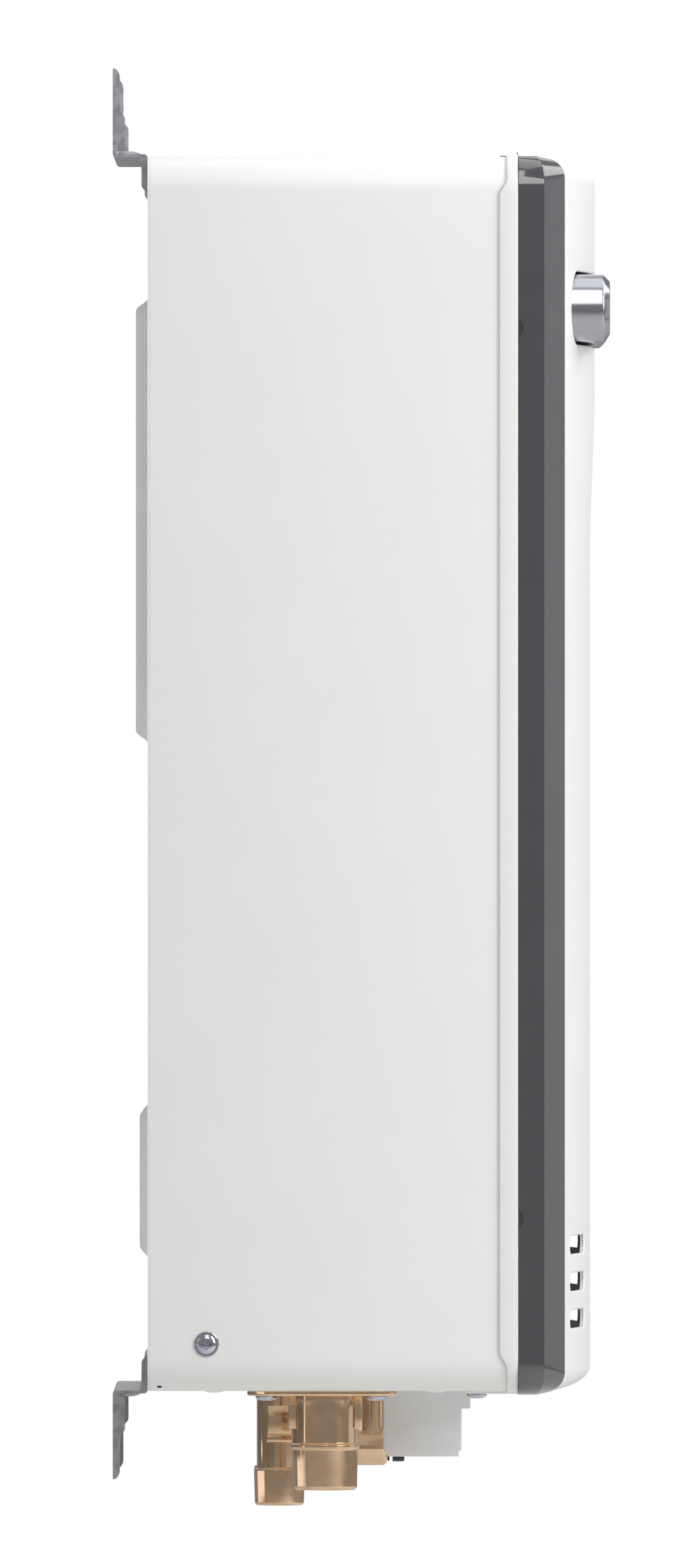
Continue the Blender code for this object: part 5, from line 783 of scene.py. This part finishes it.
def makeDome():
    # y = lip - rise(z) * (1 - (x / half)^2) * elliptical end rounding,
    # with a quarter circle roll at each opening
    dome = coverDome
    edge, roll, spacing = dome["edge"], dome["roll"], dome["spacing"]
    lip = trimFrame["lipWidth"] + dome["gap"]
    half = trimHalf - trimFrame["lipSide"] - lip
    low, high = trimBottom + trimFrame["lipLow"] + lip, trimTop - trimFrame["lipTop"] - lip
    corner = trimFrame["lipCorner"] - lip
    easeFrom, easeTo = (midZ + rise for rise in dome["easeRise"])
    openings = domeOpenings()

    def arch(x, level):
        return archShift(x / half, np.clip((level - low) / (high - low), 0, 1))

    def levelOf(x, z):
        # the level whose bowed line passes through z, found by repeated substitution
        level = z - arch(x, z)
        for _ in range(4):
            level = z - arch(x, level)
        return level

    def clearOf(x, z):
        # how far a point lies outside the nearest opening
        nearest = np.full(x.shape, 1.0)
        for cx, cz, wide, tall, *_ in openings:
            along = np.maximum(np.abs(x - cx) - (wide - tall), 0)
            nearest = np.minimum(nearest, np.hypot(along, z - cz) - tall)
        return nearest

    def cornerReach(x, level):
        # distance from the centre of the nearest rounded corner, 0 along the sides
        sideways = np.maximum(np.abs(x) - half + corner, 0)
        upwards = np.maximum(np.abs(level - (low + high) / 2) - (high - low) / 2 + corner, 0)
        return np.hypot(sideways, upwards)

    def surfaceAt(x, z):
        level = levelOf(x, z)
        ease = smoothStep((level - easeFrom) / (easeTo - easeFrom))
        rise = dome["riseLow"] + (dome["riseTop"] - dome["riseLow"]) * ease
        near = np.clip(np.minimum(level - low, high - level) / edge, 0, 1)
        rounding = np.sqrt(1 - (1 - near) ** 2)
        into = np.clip(1 - clearOf(x, z) / roll, 0, 1)
        sink = roll * (1 - np.sqrt(1 - into**2))
        return trimFront + setBack(x, z) - rise * np.maximum(1 - (x / half) ** 2, 0) * rounding + sink

    # points: the border, the openings and the rings of their rolls, and an even fill between them
    loops = [boxOutline(half, low, high, corner, archTop, archLow, np.linspace(0, 1, 150)[1:-1], 80)]
    rings = []
    for cx, cz, wide, tall, steps, across in openings:
        loops.append(slotOutline(cx, cz, wide, tall, steps, across))
        for out in (share * roll for share in dome["rollShares"]):
            rings.append(slotOutline(cx, cz, wide + out, tall + out, steps, across))
    turn = np.linspace(0, math.pi / 2, 10)[1:]
    ends = edge * (1 - np.cos(turn))
    middle = np.arange(low + edge + spacing, high - edge - spacing / 2, spacing)
    levels = np.concatenate([low + ends, middle, high - ends])
    columns = np.linspace(-1, 1, 2 * round(half / spacing) + 1)[1:-1] * half
    x, level = (grid.ravel() for grid in np.meshgrid(columns, levels))
    z = level + arch(x, level)
    keep = (clearOf(x, z) > 2.6 * mm) & (cornerReach(x, level) <= corner - 0.3 * mm)
    points = np.concatenate([*loops, *rings, np.stack([x[keep], z[keep]], -1)])

    # triangles between them, without those across an opening or outside the border
    sizes = [len(loop) for loop in loops]
    starts = np.concatenate([[0], np.cumsum(sizes)])
    edges = [np.stack([s + np.arange(n), s + (np.arange(n) + 1) % n], -1) for s, n in zip(starts, sizes)]
    edges = np.concatenate(edges).tolist()
    flat, _, faces, origins, _, _ = delaunay_2d_cdt(points.tolist(), edges, [], 0, 1e-7)
    flat = np.array([(p.x, p.y) for p in flat])
    faces = np.array([face for face in faces if len(face) == 3])
    x, z = flat[faces].mean(1).T
    within = (clearOf(x, z) > 0) & (cornerReach(x, levelOf(x, z)) <= corner) & (np.abs(x) < half)
    faces = faces[within]
    first = {k: i for i, group in enumerate(origins) for k in group}
    order = np.array([first[k] for k in range(len(points))])

    # the front, the same moved back by the sheet, and walls round the border and the openings
    count = len(flat)
    front = np.stack([flat[:, 0], surfaceAt(flat[:, 0], flat[:, 1]), flat[:, 1]], -1)
    inside = front + (0, dome["sheet"], 0)
    inside[order[: sizes[0]], 1] = coverSkirt["frontY"] - dome["gap"]
    walls = []
    for s, n in zip(starts, sizes):
        here = order[s : s + n]
        after = np.roll(here, -1)
        walls.append(np.stack([here, after, after + count, here + count], -1))
    mesh = bpy.data.meshes.new("dome")
    allFaces = faces.tolist() + (faces[:, ::-1] + count).tolist() + np.concatenate(walls).tolist()
    mesh.from_pydata(np.concatenate([front, inside]).tolist(), [], allFaces)
    return tidied(mesh, 42)


addPiece("front_dome", makeDome(), "white_paint", ["cover_panel"], "front_cover")
print("front cover made")


# Exhaust outlet and the guard in its mouth

def makeOutlet():
    # a stadium carried along (inset, travel): outer wall, lip, inner wall, and a flange behind the cover
    tube = outletTube
    half, tall, level = tube["half"], tube["tall"], midZ + tube["rise"]
    low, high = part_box("exhaust_outlet")
    front, back = low.y, high.y
    lip = [(inset * mm, front + lift * mm) for inset, lift in tube["lip"]]
    corners = [(0, back), *lip, (tube["sheet"], back)]
    amounts = np.array([0.1, 0.8, 0.6, 0.4, 0.4, 0.8, 0.1]) * mm
    rows = softened(corners, amounts, 5, closed=True)
    standOut, flangeTall, sheet = tube["flange"]

    def outlineAt(inset):
        return slotOutline(0, level, half - inset, tall - inset, 40, 24)

    def plateAt(outer):
        # the stadium itself, or the same clipped and stretched to the flange's outer edge
        inner = outlineAt(0.4 * mm)
        if not outer:
            return inner
        clipped = np.clip(inner - (0, level), (-half, -tall), (half, tall))
        return clipped * ((half + standOut) / half, flangeTall / tall) + (0, level)

    plate = [(False, back), (False, back - sheet), (True, back - sheet), (True, back)]
    grids = [closedRing(stacked(outlineAt, rows, "Y")), closedRing(stacked(plateAt, plate, "Y"))]
    return asMesh("outlet", grids)


guardBars = {
    "railTall": 1.6 * mm,
    "railEdge": 0.4 * mm,
    "count": 9,
    "vaneHalf": 0.6 * mm,
    "vaneIn": 0.8 * mm,
    "vaneEdge": 0.35 * mm,
}


def makeGuard():
    # upright vanes between two rails, all as blocks with quarter round edges
    guard = guardBars
    low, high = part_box("exhaust_guard")
    tall, half, into = guard["railTall"], guard["vaneHalf"], guard["vaneIn"]
    grids = []
    for z in (low.z, high.z - tall):
        grids.append(solid(block((low.x, low.y, z), (high.x, high.y, z + tall), guard["railEdge"], "X")))
    for x in np.linspace(low.x + half, high.x - half, guard["count"]):
        corners = ((x - half, low.y, low.z + into), (x + half, high.y, high.z - into))
        grids.append(solid(block(*corners, guard["vaneEdge"])))
    return asMesh("guard", grids)


addPiece("outlet_mouth", makeOutlet(), "stainless", ["exhaust_outlet"])
addPiece("outlet_guard", makeGuard(), "stainless", ["exhaust_guard"])
print("exhaust made")


# Fittings under the case: their heights and radii are in millimetres, from the bottom of the case

def below(profile):
    # a profile of (radius, height) in millimetres as (radius, level) in metres
    return [(radius * mm, caseBottom + height * mm) for radius, height in profile]


gasSocket = {
    "profile": (
        (12.0, 15.7), (12.0, -3.7), (18.0, -3.7), (18.0, -29.6), (18.9, -30.6),
        (18.9, -32.0), (17.8, -32.9), (17.35, -53.6), (15.9, -55.2), (12.9, -55.2),
        (12.0, -54.2), (12.0, -35.2), (8.0, -35.2), (8.0, 15.7),
    ),
    "edges": (0.3, 0.3, 0.3, 0.5, 0.4, 0.4, 0.6, 0.5, 0.4, 0.4, 0.4, 0.3, 0.3, 0.3),
    "wings": (8.0, 20.1, -3.7, -21.8),  # half widths across and along, top, bottom
    "wingEdge": 0.9,
    "thread": (12.0, 0.45, 2.31),  # radius, depth, pitch
    "threadEnds": (-36, -53.5),
}


def makeGasSocket():
    # a lathed socket, a block for its two flat wings, and a threaded sleeve in its mouth
    gas = gasSocket
    rows = softened(below(gas["profile"]), np.array(gas["edges"]) * mm, 4, closed=True)
    x, y = gasCentre
    halfX, halfY, top, bottom = (value * mm for value in gas["wings"])
    corners = ((x - halfX, y - halfY, caseBottom + bottom), (x + halfX, y + halfY, caseBottom + top))
    radius, depth, pitch = (value * mm for value in gas["thread"])
    threadTop, threadBottom = (caseBottom + height * mm for height in gas["threadEnds"])
    lining = threaded(radius, depth, pitch, threadTop, threadBottom, gasCentre)
    behind = radius + 0.3 * mm
    backing = lathe([(behind, lining[-1, 0, 2]), (behind, lining[0, 0, 2])], gasCentre, "Z", 48)
    grids = [
        closedRing(lathe(rows, gasCentre, "Z")),
        solid(block(*corners, gas["wingEdge"] * mm)),
        closedRing(np.concatenate([lining, backing])),
    ]
    return asMesh("gas_socket", grids, sharp=36)


waterCasting = {
    "tube": 12.4,
    "collar": 14.0,
    "bore": 9.0,
    "shoulder": 4.0,
    "collarTop": -46.9,
    "drop": -66.95,
}


def castingRows(blockRadius, top):
    # outer wall downwards, collar, and the bore back up, as (radius, level)
    casting = waterCasting
    tube, collar, collarTop = casting["tube"], casting["collar"], casting["collarTop"]
    drop, bore, shoulder = casting["drop"], casting["bore"], casting["shoulder"]
    corners = [
        (blockRadius, top), (blockRadius, shoulder), (tube, shoulder), (tube, collarTop + 0.3),
        (collar - 0.3, collarTop), (collar, collarTop - 0.5), (collar - 0.5, drop + 1.2),
        (collar - 1.6, drop), (bore + 0.8, drop), (bore, drop + 0.8), (bore, top),
    ]
    edges = np.array([0.8, 0.4, 0.8, 0.8, 0.3, 0.4, 0.5, 0.4, 0.4, 0.4, 0.3]) * mm
    return softened(below(corners), edges, 4, closed=True)


coldCasting = {
    "blockRadius": 15.0,
    "branchLevel": -35.1,
    "branchEnd": -149.5 * mm,
    "branchRadius": 9.9,
    "branchBore": 6.9,
    "panel": (-28.3, -11.8, 6.5, 1.4),  # bottom, top, half width, how far it stands out of the tube
    "rib": (-32.1, -27.9, 7.0, 2.8),
    "boss": (-141.8 * mm, 6.0, -3.2),  # y, radius, top
    "bossFoot": 7.2,  # above the branch's axis, clear of its bore
    "wayIn": 43.0,  # how far the branch's bore opens into the tube, from the branch's end
}


def makeColdInlet():
    # a lathed casting, its filter branch toward the front, a boss on that, and a panel and rib on its side
    cold = coldCasting
    x, y = coldCentre
    top = (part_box("cold_water_inlet")[1].z - caseBottom) / mm
    level, end = caseBottom + cold["branchLevel"] * mm, cold["branchEnd"]
    radius, bore = cold["branchRadius"] * mm, cold["branchBore"] * mm
    neck = radius - 1.2 * mm
    corners = [
        (neck, y), (neck, end + 34 * mm), (radius, end + 31 * mm), (radius, end + 1.6 * mm),
        (radius - 1.5 * mm, end), (bore + 0.5 * mm, end), (bore, end + 0.6 * mm), (bore, y),
    ]
    grids = [closedRing(lathe(softened(corners, 0.9 * mm, 5, closed=True), (x, level), "Y", 72))]
    for bottom, height, half, proud in (cold["panel"], cold["rib"]):
        corner = (x - (waterCasting["tube"] + proud) * mm, y - half * mm, caseBottom + bottom * mm)
        grids.append(solid(block(corner, (x, y + half * mm, caseBottom + height * mm), 0.7 * mm)))
    bossY, bossRadius, bossTop = cold["boss"]
    foot, head, bossRadius = level + cold["bossFoot"] * mm, caseBottom + bossTop * mm, bossRadius * mm
    rows = [(0, foot), (bossRadius, foot), (bossRadius, head), (0, head)]
    grids.append(openTube(lathe(softened(rows, 0.8 * mm), (x, bossY), "Z", 40)))
    cut = bore - 0.05 * mm
    wayIn = solid(lathe([(cut, y), (cut, end + cold["wayIn"] * mm)], (x, level), "Y", 48))
    tubeRows = castingRows(cold["blockRadius"], top)
    tube = carve(asMesh("cold_tube", [closedRing(lathe(tubeRows, coldCentre, "Z"))], sharp=36), [wayIn])
    return joined(tube, asMesh("cold_inlet", grids, sharp=36), 36)


hotCasting = {
    "blockRadius": 14.0,
    "reach": 16.5 * mm,
    "sidePort": (10.5, -12.0),  # radius, and height from the casting's top
    "backPort": (7.5, -16.0),
    "probePort": (6.0, 45.0),  # radius, and height from the bottom of the case
    "cap": (9.2, 3.0, 0.2),  # radius, depth of its foot and of its face
}


def makeHotOutlet():
    # a lathed casting with round ports to the side, the back and the front, and a cap in its top
    hot = hotCasting
    x, y = hotCentre
    reach, topZ = hot["reach"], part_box("hot_water_outlet")[1].z
    top = (topZ - caseBottom) / mm
    sideRadius, sideLevel = hot["sidePort"]
    backRadius, backLevel = hot["backPort"]
    probeRadius, probeLevel = hot["probePort"]
    capRadius, capFoot, capFace = (value * mm for value in hot["cap"])
    ports = (
        (sideRadius, top + sideLevel, "X", x, reach, y, 48),
        (backRadius, top + backLevel, "Y", y, reach, x, 40),
        (probeRadius, probeLevel, "Y", y, -reach, x, 40),
    )
    grids = [closedRing(lathe(castingRows(hot["blockRadius"], top), hotCentre, "Z"))]
    for radius, height, axis, start, travel, beside, steps in ports:
        rows = [(radius * mm, start), (radius * mm, start + travel)]
        grids.append(solid(lathe(rows, (beside, caseBottom + height * mm), axis, steps)))
    cap = [(capRadius, topZ - capFoot), (capRadius, topZ - capFace)]
    grids.append(solid(lathe(cap, hotCentre, "Z", 48)))
    return asMesh("hot_outlet", grids, sharp=36)


clampPlate = {"cut": 10.1 * mm, "edge": 1.3 * mm, "corner": 1.6 * mm, "skin": 2.5 * mm, "hole": 12.3 * mm}


def makePlate():
    # an eight sided plate with its lower edge turned over a soft radius
    plate = clampPlate
    low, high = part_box("connection_plate")
    skin, hole = plate["skin"], plate["hole"]

    def outlineAt(inset):
        a, b, c, d = low.x + inset, high.x - inset, low.y + inset, high.y - inset
        k = plate["cut"] - inset * 0.4
        corners = [
            (b, c + k), (b, d - k), (b - k, d), (a + k, d),
            (a, d - k), (a, c + k), (a + k, c), (b - k, c),
        ]
        return softened(corners, plate["corner"], 3, closed=True)

    ends = [(skin, high.z), (0, high.z), (0, low.z), (skin, low.z)]
    rows = softened(ends, [0, 0.4 * mm, plate["edge"], 0], 5)
    cutter = lathe([(hole, low.z - 2 * mm), (hole, high.z + 2 * mm)], gasCentre, "Z", 64)
    return carve(asMesh("plate", [solid(stacked(outlineAt, rows, "Z"))]), [solid(cutter)])


addPiece("gas_socket", makeGasSocket(), "brass", ["gas_inlet_fitting"])
addPiece("cold_inlet", makeColdInlet(), "brass", ["cold_water_inlet"])
addPiece("hot_outlet", makeHotOutlet(), "brass", ["hot_water_outlet"])
addPiece("clamp_plate", makePlate(), "brass", ["connection_plate"])
print("fittings made")


# Screws

crossRecess = {"long": 0.6, "wide": 0.15, "taper": (0.55, 0.7)}  # shares of the head's radius
sideScrew = {
    "head": 5.0 * mm,
    "height": 2.2 * mm,
    "flange": 6.75 * mm,
    "flangeHeight": 0.6 * mm,
    "recess": 1.75 * mm,
}
hangingScrews = {
    # radius, height and seat of the head in millimetres under the case; seat 0 is the plate's underside
    "cover_screw_left": (5.4, 2.9, 1.9),
    "cover_screw_right": (5.4, 2.9, 1.9),
    "plate_screw_back": (6.1, 3.0, 0),
    "plate_screw_front": (6.1, 3.0, 0),
}
hangingShank, hangingRecess = 2.0 * mm, 1.2 * mm


def domeRows(radius, seat, height, facing, flange=0.0, flangeHeight=0.0, share=0.5):
    # a pan head: flange, upright wall, and a crown that closes as an ellipse
    turn = np.linspace(0, math.pi / 2, 12)
    wall = height * (1 - share)
    crown = np.stack([radius * np.cos(turn), seat + facing * (wall + height * share * np.sin(turn))], -1)
    crown[-1, 0] = radius * 0.04
    rows = [(radius, seat)]
    if flange:
        top = seat + facing * flangeHeight
        rows = [(flange, seat), (flange, seat + facing * flangeHeight * 0.6), (flange - 0.3 * mm, top),
                (radius + 0.3 * mm, top)]
    return np.concatenate([rows, crown])


def addScrew(node, profile, centre, axis, headRadius, crownAt, crownDepth, facing):
    # a turned head with two crossed tapering grooves pressed into its crown
    name = node + "_head"
    long, wide = headRadius * crossRecess["long"], headRadius * crossRecess["wide"]
    taperLong, taperWide = crossRecess["taper"]
    cutters = []
    for swap in (0, 1):
        rings = []
        for a, b, depth in ((long * taperLong, wide * taperWide, crownDepth), (long, wide, -0.3 * mm)):
            a, b = (b, a) if swap else (a, b)
            outline = np.array([(-a, -b), (a, -b), (a, b), (-a, b)]) + centre
            rings.append(carried(outline, crownAt - facing * depth, axis))
        cutters.append(solid(np.stack(rings)))
    mesh = carve(asMesh(name, [solid(lathe(profile, centre, axis, 64))]), cutters, 30)
    addPiece(name, mesh, "zinc_plate", [node], slot="zinc_sheet")


def makeSideScrews():
    # flanged heads on the case's two sides
    head = sideScrew
    radius, height = head["head"], head["height"]
    for side, node in ((-1, "side_screw_left"), (1, "side_screw_right")):
        low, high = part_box(node)
        seat = low.x if side > 0 else high.x
        rows = domeRows(radius, seat, height, side, head["flange"], head["flangeHeight"], 0.6)
        centre = ((low.y + high.y) / 2, (low.z + high.z) / 2)
        addScrew(node, rows, centre, "X", radius, seat + side * height, head["recess"], side)


def makeHangingScrews():
    # screws whose heads hang below the case: cover lugs and connection plate
    for node, (radius, height, drop) in hangingScrews.items():
        low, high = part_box(node)
        radius, height = radius * mm, height * mm
        seat = caseBottom - drop * mm if drop else low.z + height
        shank = [(hangingShank, high.z), (hangingShank, seat)]
        rows = np.concatenate([shank, domeRows(radius, seat, height, -1, share=0.75)])
        centre = ((low.x + high.x) / 2, (low.y + high.y) / 2)
        addScrew(node, rows, centre, "Z", radius, seat - height, hangingRecess, -1)


makeSideScrews()
makeHangingScrews()
print("screws made")


# Wall brackets and the terminal box

wallBracket = {
    "half": 130 * mm,
    "sheet": 1.6 * mm,
    "bend": 2.2 * mm,
    "plate": 46.7 * mm,
    "flange": 20.8 * mm,
    "foot": 2.0 * mm,
    "rim": 6.7 * mm,
    "edge": 0.3 * mm,
    "shoulder": (20.0 * mm, 25.5 * mm, 3.9 * mm),  # where the rim narrows, from and to, and its width above
    "bead": (75 * mm, 16 * mm, 7.5 * mm, 3.0 * mm),  # x, width, half depth, height
    "slot": (100 * mm, 3.5 * mm, 10 * mm),  # x, radius, depth
    "hole": (50 * mm, 6.5 * mm, 3.5 * mm, 13.7 * mm),  # x, half width, half height, drop from the top
}


def bracketRims(back, top, low):
    # the rims at the bracket's ends as (y, height) outlines: along the wall plate, and along the flange
    bracket = wallBracket
    sheet, rim = bracket["sheet"], bracket["rim"]
    narrowFrom, narrowTo, step = bracket["shoulder"]
    skin, foot = 0.4 * mm, 1.6 * mm
    wallRim = [
        (-skin, foot), (-rim, foot), (-rim, narrowFrom), (-rim + 2 * mm, narrowFrom + 2.2 * mm),
        (-step, narrowTo), (-step, top - 3 * mm), (-skin - sheet, top - skin), (-skin, top - skin),
    ]
    wallEdges = np.array([0.1, 1.6, 1.2, 1.0, 0.8, 2.2, 0.6, 0.1]) * mm
    mid = back + rim / 2
    flangeRim = [
        (back + skin, -1 * mm), (mid + 1 * mm, -1 * mm), (mid, -rim), (mid, low + 3.2 * mm),
        (back + 1.2 * mm, low + skin), (back + skin, low + skin),
    ]
    flangeEdges = np.array([0.1, 1.0, 2.2, 1.4, 0.6, 0.1]) * mm
    return [softened(corners, edges, 5, closed=True)
            for corners, edges in ((wallRim, wallEdges), (flangeRim, flangeEdges))]


def makeBracket(side):
    # a bent sheet carried along X: profile z = foot + side * height, with rims at both ends and pressed beads
    bracket = wallBracket
    sheet, half, bend, edge = bracket["sheet"], bracket["half"], bracket["bend"], bracket["edge"]
    foot = midZ + side * (caseTop - midZ + bracket["foot"])
    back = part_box("upper_bracket")[0].y
    top, low = bracket["plate"], -bracket["flange"]

    def endTo(path, x):
        return carried(path * (1, side) + (0, foot), x, "X")

    corners = [
        (0, top), (0, -sheet), (sheet + back, -sheet), (sheet + back, low),
        (back, low), (back, 0), (-sheet, 0), (-sheet, top),
    ]
    path = softened(corners, [edge, bend, bend * 0.4, edge, edge, bend, bend * 0.4, edge], 5, closed=True)
    ends = (-half, -half + edge, half - edge, half)
    mesh = asMesh("bracket", [solid(np.stack([endTo(path, x) for x in ends]))])
    slotX, slotRadius, slotDeep = bracket["slot"]
    holeX, holeHalf, holeTall, holeDrop = bracket["hole"]
    cutters = []
    for end in (-1, 1):
        hole = slotOutline(end * holeX, 0, holeHalf, holeTall, 10, 4)
        turn = np.linspace(math.pi, math.tau, 13)
        slot = np.stack([slotRadius * np.cos(turn), slotRadius * (1 + np.sin(turn)) - slotDeep], -1)
        mouth = [(slotRadius, 2 * mm), (-slotRadius, 2 * mm)]
        slot = np.concatenate([slot, mouth]) + (end * slotX, holeDrop)
        for outline in (hole, slot):
            outline = outline * (1, side) + (0, foot + side * (top - holeDrop))
            cutters.append(solid(np.stack([carried(outline, y, "Y") for y in (3 * mm, -4 * mm)])))
    mesh = carve(mesh, cutters)
    beadX, spread, deep, height = bracket["bead"]
    turn = np.linspace(math.pi / 2, 0.04, 9)
    beadRows = [(math.sin(t), foot - side * 0.2 * mm + side * height * math.cos(t)) for t in turn]
    grids = []
    for end in (-1, 1):
        for rim in bracketRims(back, top, low):
            grids.append(solid(np.stack([endTo(rim, end * x) for x in (half - sheet, half - 0.1 * mm)])))
        bead = lathe(beadRows, (0, 0), "Z", 40) * (spread / 2, deep, 1)
        grids.append(solid(bead + (end * beadX, -sheet / 2 - deep, 0)))
    return joined(mesh, asMesh("rims", grids), 32)


addPiece("upper_bracket_sheet", makeBracket(1), "zinc_sheet", ["upper_bracket"])
addPiece("lower_bracket_sheet", makeBracket(-1), "zinc_sheet", ["lower_bracket"])
addPiece("terminal_box", softCopy("terminal_cover", 0.35 * mm), "pale_plastic", ["terminal_cover"])
print("brackets and terminal box made")


# Studio: a pale floor, soft boxes and a camera that looks level along X from 16 m away

studio = {
    "camera": (-16.178, -0.1282, -0.36655),
    "lens": 676.2,
    "sensor": 36,
    "clip": (0.1, 100),
    "floorDrop": 0.45,
    "floorHalf": 3.2,
    "worldColour": "FFFFFF",
    "worldLight": 0.29,
    "backdrop": 1.0,
    "aimY": -0.13,
    "lights": {
        # place, with its height from the case's middle; size; watts
        "key softbox": ((-1.9, -0.2, 1.66), (0.7, 2.1), 13),
        "side softbox": ((-1.75, -2.6, 1.1), (1.5, 1.8), 53),
        "front softbox": ((0.1, -2.5, 2.3), (3.0, 1.8), 44),
        "front low softbox": ((0.7, -2.9, 0.2), (1.6, 1.6), 3),
        "top softbox": ((0.3, -0.3, 2.6), (2.0, 2.0), 14),
        "far softbox": ((2.6, -0.2, 1.7), (1.6, 2.0), 6),
        "far low softbox": ((2.6, -0.2, 0.66), (1.3, 0.5), 2.5),
        "rear softbox": ((0.0, 2.8, 1.4), (2.4, 1.8), 6),
        "rear low softbox": ((0.3, 2.8, -0.4), (2.4, 0.7), 5),
    },
}


def areaLight(name, place, toward, size, power):
    # a rectangular lamp turned toward a point
    data = bpy.data.lights.new(name, "AREA")
    data.shape, data.size, data.size_y, data.energy = "RECTANGLE", size[0], size[1], power
    lamp = placed(name, data)
    lamp.location = place
    lamp.rotation_euler = Vector(np.subtract(toward, place)).to_track_quat("-Z", "Y").to_euler()


def makeCamera():
    # a long lens, level and square to the case's left side
    camera = bpy.data.cameras.new("camera")
    camera.sensor_width, camera.sensor_fit, camera.lens = studio["sensor"], "AUTO", studio["lens"]
    camera.clip_start, camera.clip_end = studio["clip"]
    holder = placed("camera", camera)
    holder.location = studio["camera"]
    holder.rotation_euler = (math.pi / 2, 0, -math.pi / 2)
    bpy.context.scene.camera = holder


def makeWorld():
    # a dim white surround that lights, and a brighter one behind everything that only the camera sees
    world = bpy.data.worlds.new("studio")
    bpy.context.scene.world = world
    world.use_nodes = True
    tree = world.node_tree
    light = tree.nodes["Background"]
    light.inputs["Color"].default_value = linear(studio["worldColour"])
    light.inputs["Strength"].default_value = studio["worldLight"]
    backdrop = {"Color": linear("FFFFFF"), "Strength": studio["backdrop"]}
    seen = addNode(tree, "ShaderNodeBackground", backdrop)
    path = addNode(tree, "ShaderNodeLightPath")
    links = {0: path.outputs["Is Camera Ray"], 1: light.outputs[0], 2: seen.outputs[0]}
    mix = addNode(tree, "ShaderNodeMixShader", {}, links)
    tree.links.new(mix.outputs[0], tree.nodes["World Output"].inputs["Surface"])


def makeFloor():
    # a flat square below the part, of matt painted board that is faintly uneven in clouds of 400 mm
    mesh = bpy.data.meshes.new("floor")
    half, z = studio["floorHalf"], cadBox[0].z - studio["floorDrop"]
    corners = [(-half, -half, z), (half, -half, z), (half, half, z), (-half, half, z)]
    mesh.from_pydata(corners, [], [(0, 1, 2, 3)])
    mesh.materials.append(finish("pale_floor", "DFDFDD", ((400,), "DDDDDB", "E2E2E0"), Roughness=0.7))
    floor = placed("floor", mesh)


bpy.context.scene.view_settings.view_transform = "Standard"
makeCamera()
makeWorld()
for name, ((x, y, rise), size, power) in studio["lights"].items():
    areaLight(name, (x, y, midZ + rise), (0, studio["aimY"], midZ), size, power)
makeFloor()
print("studio made")
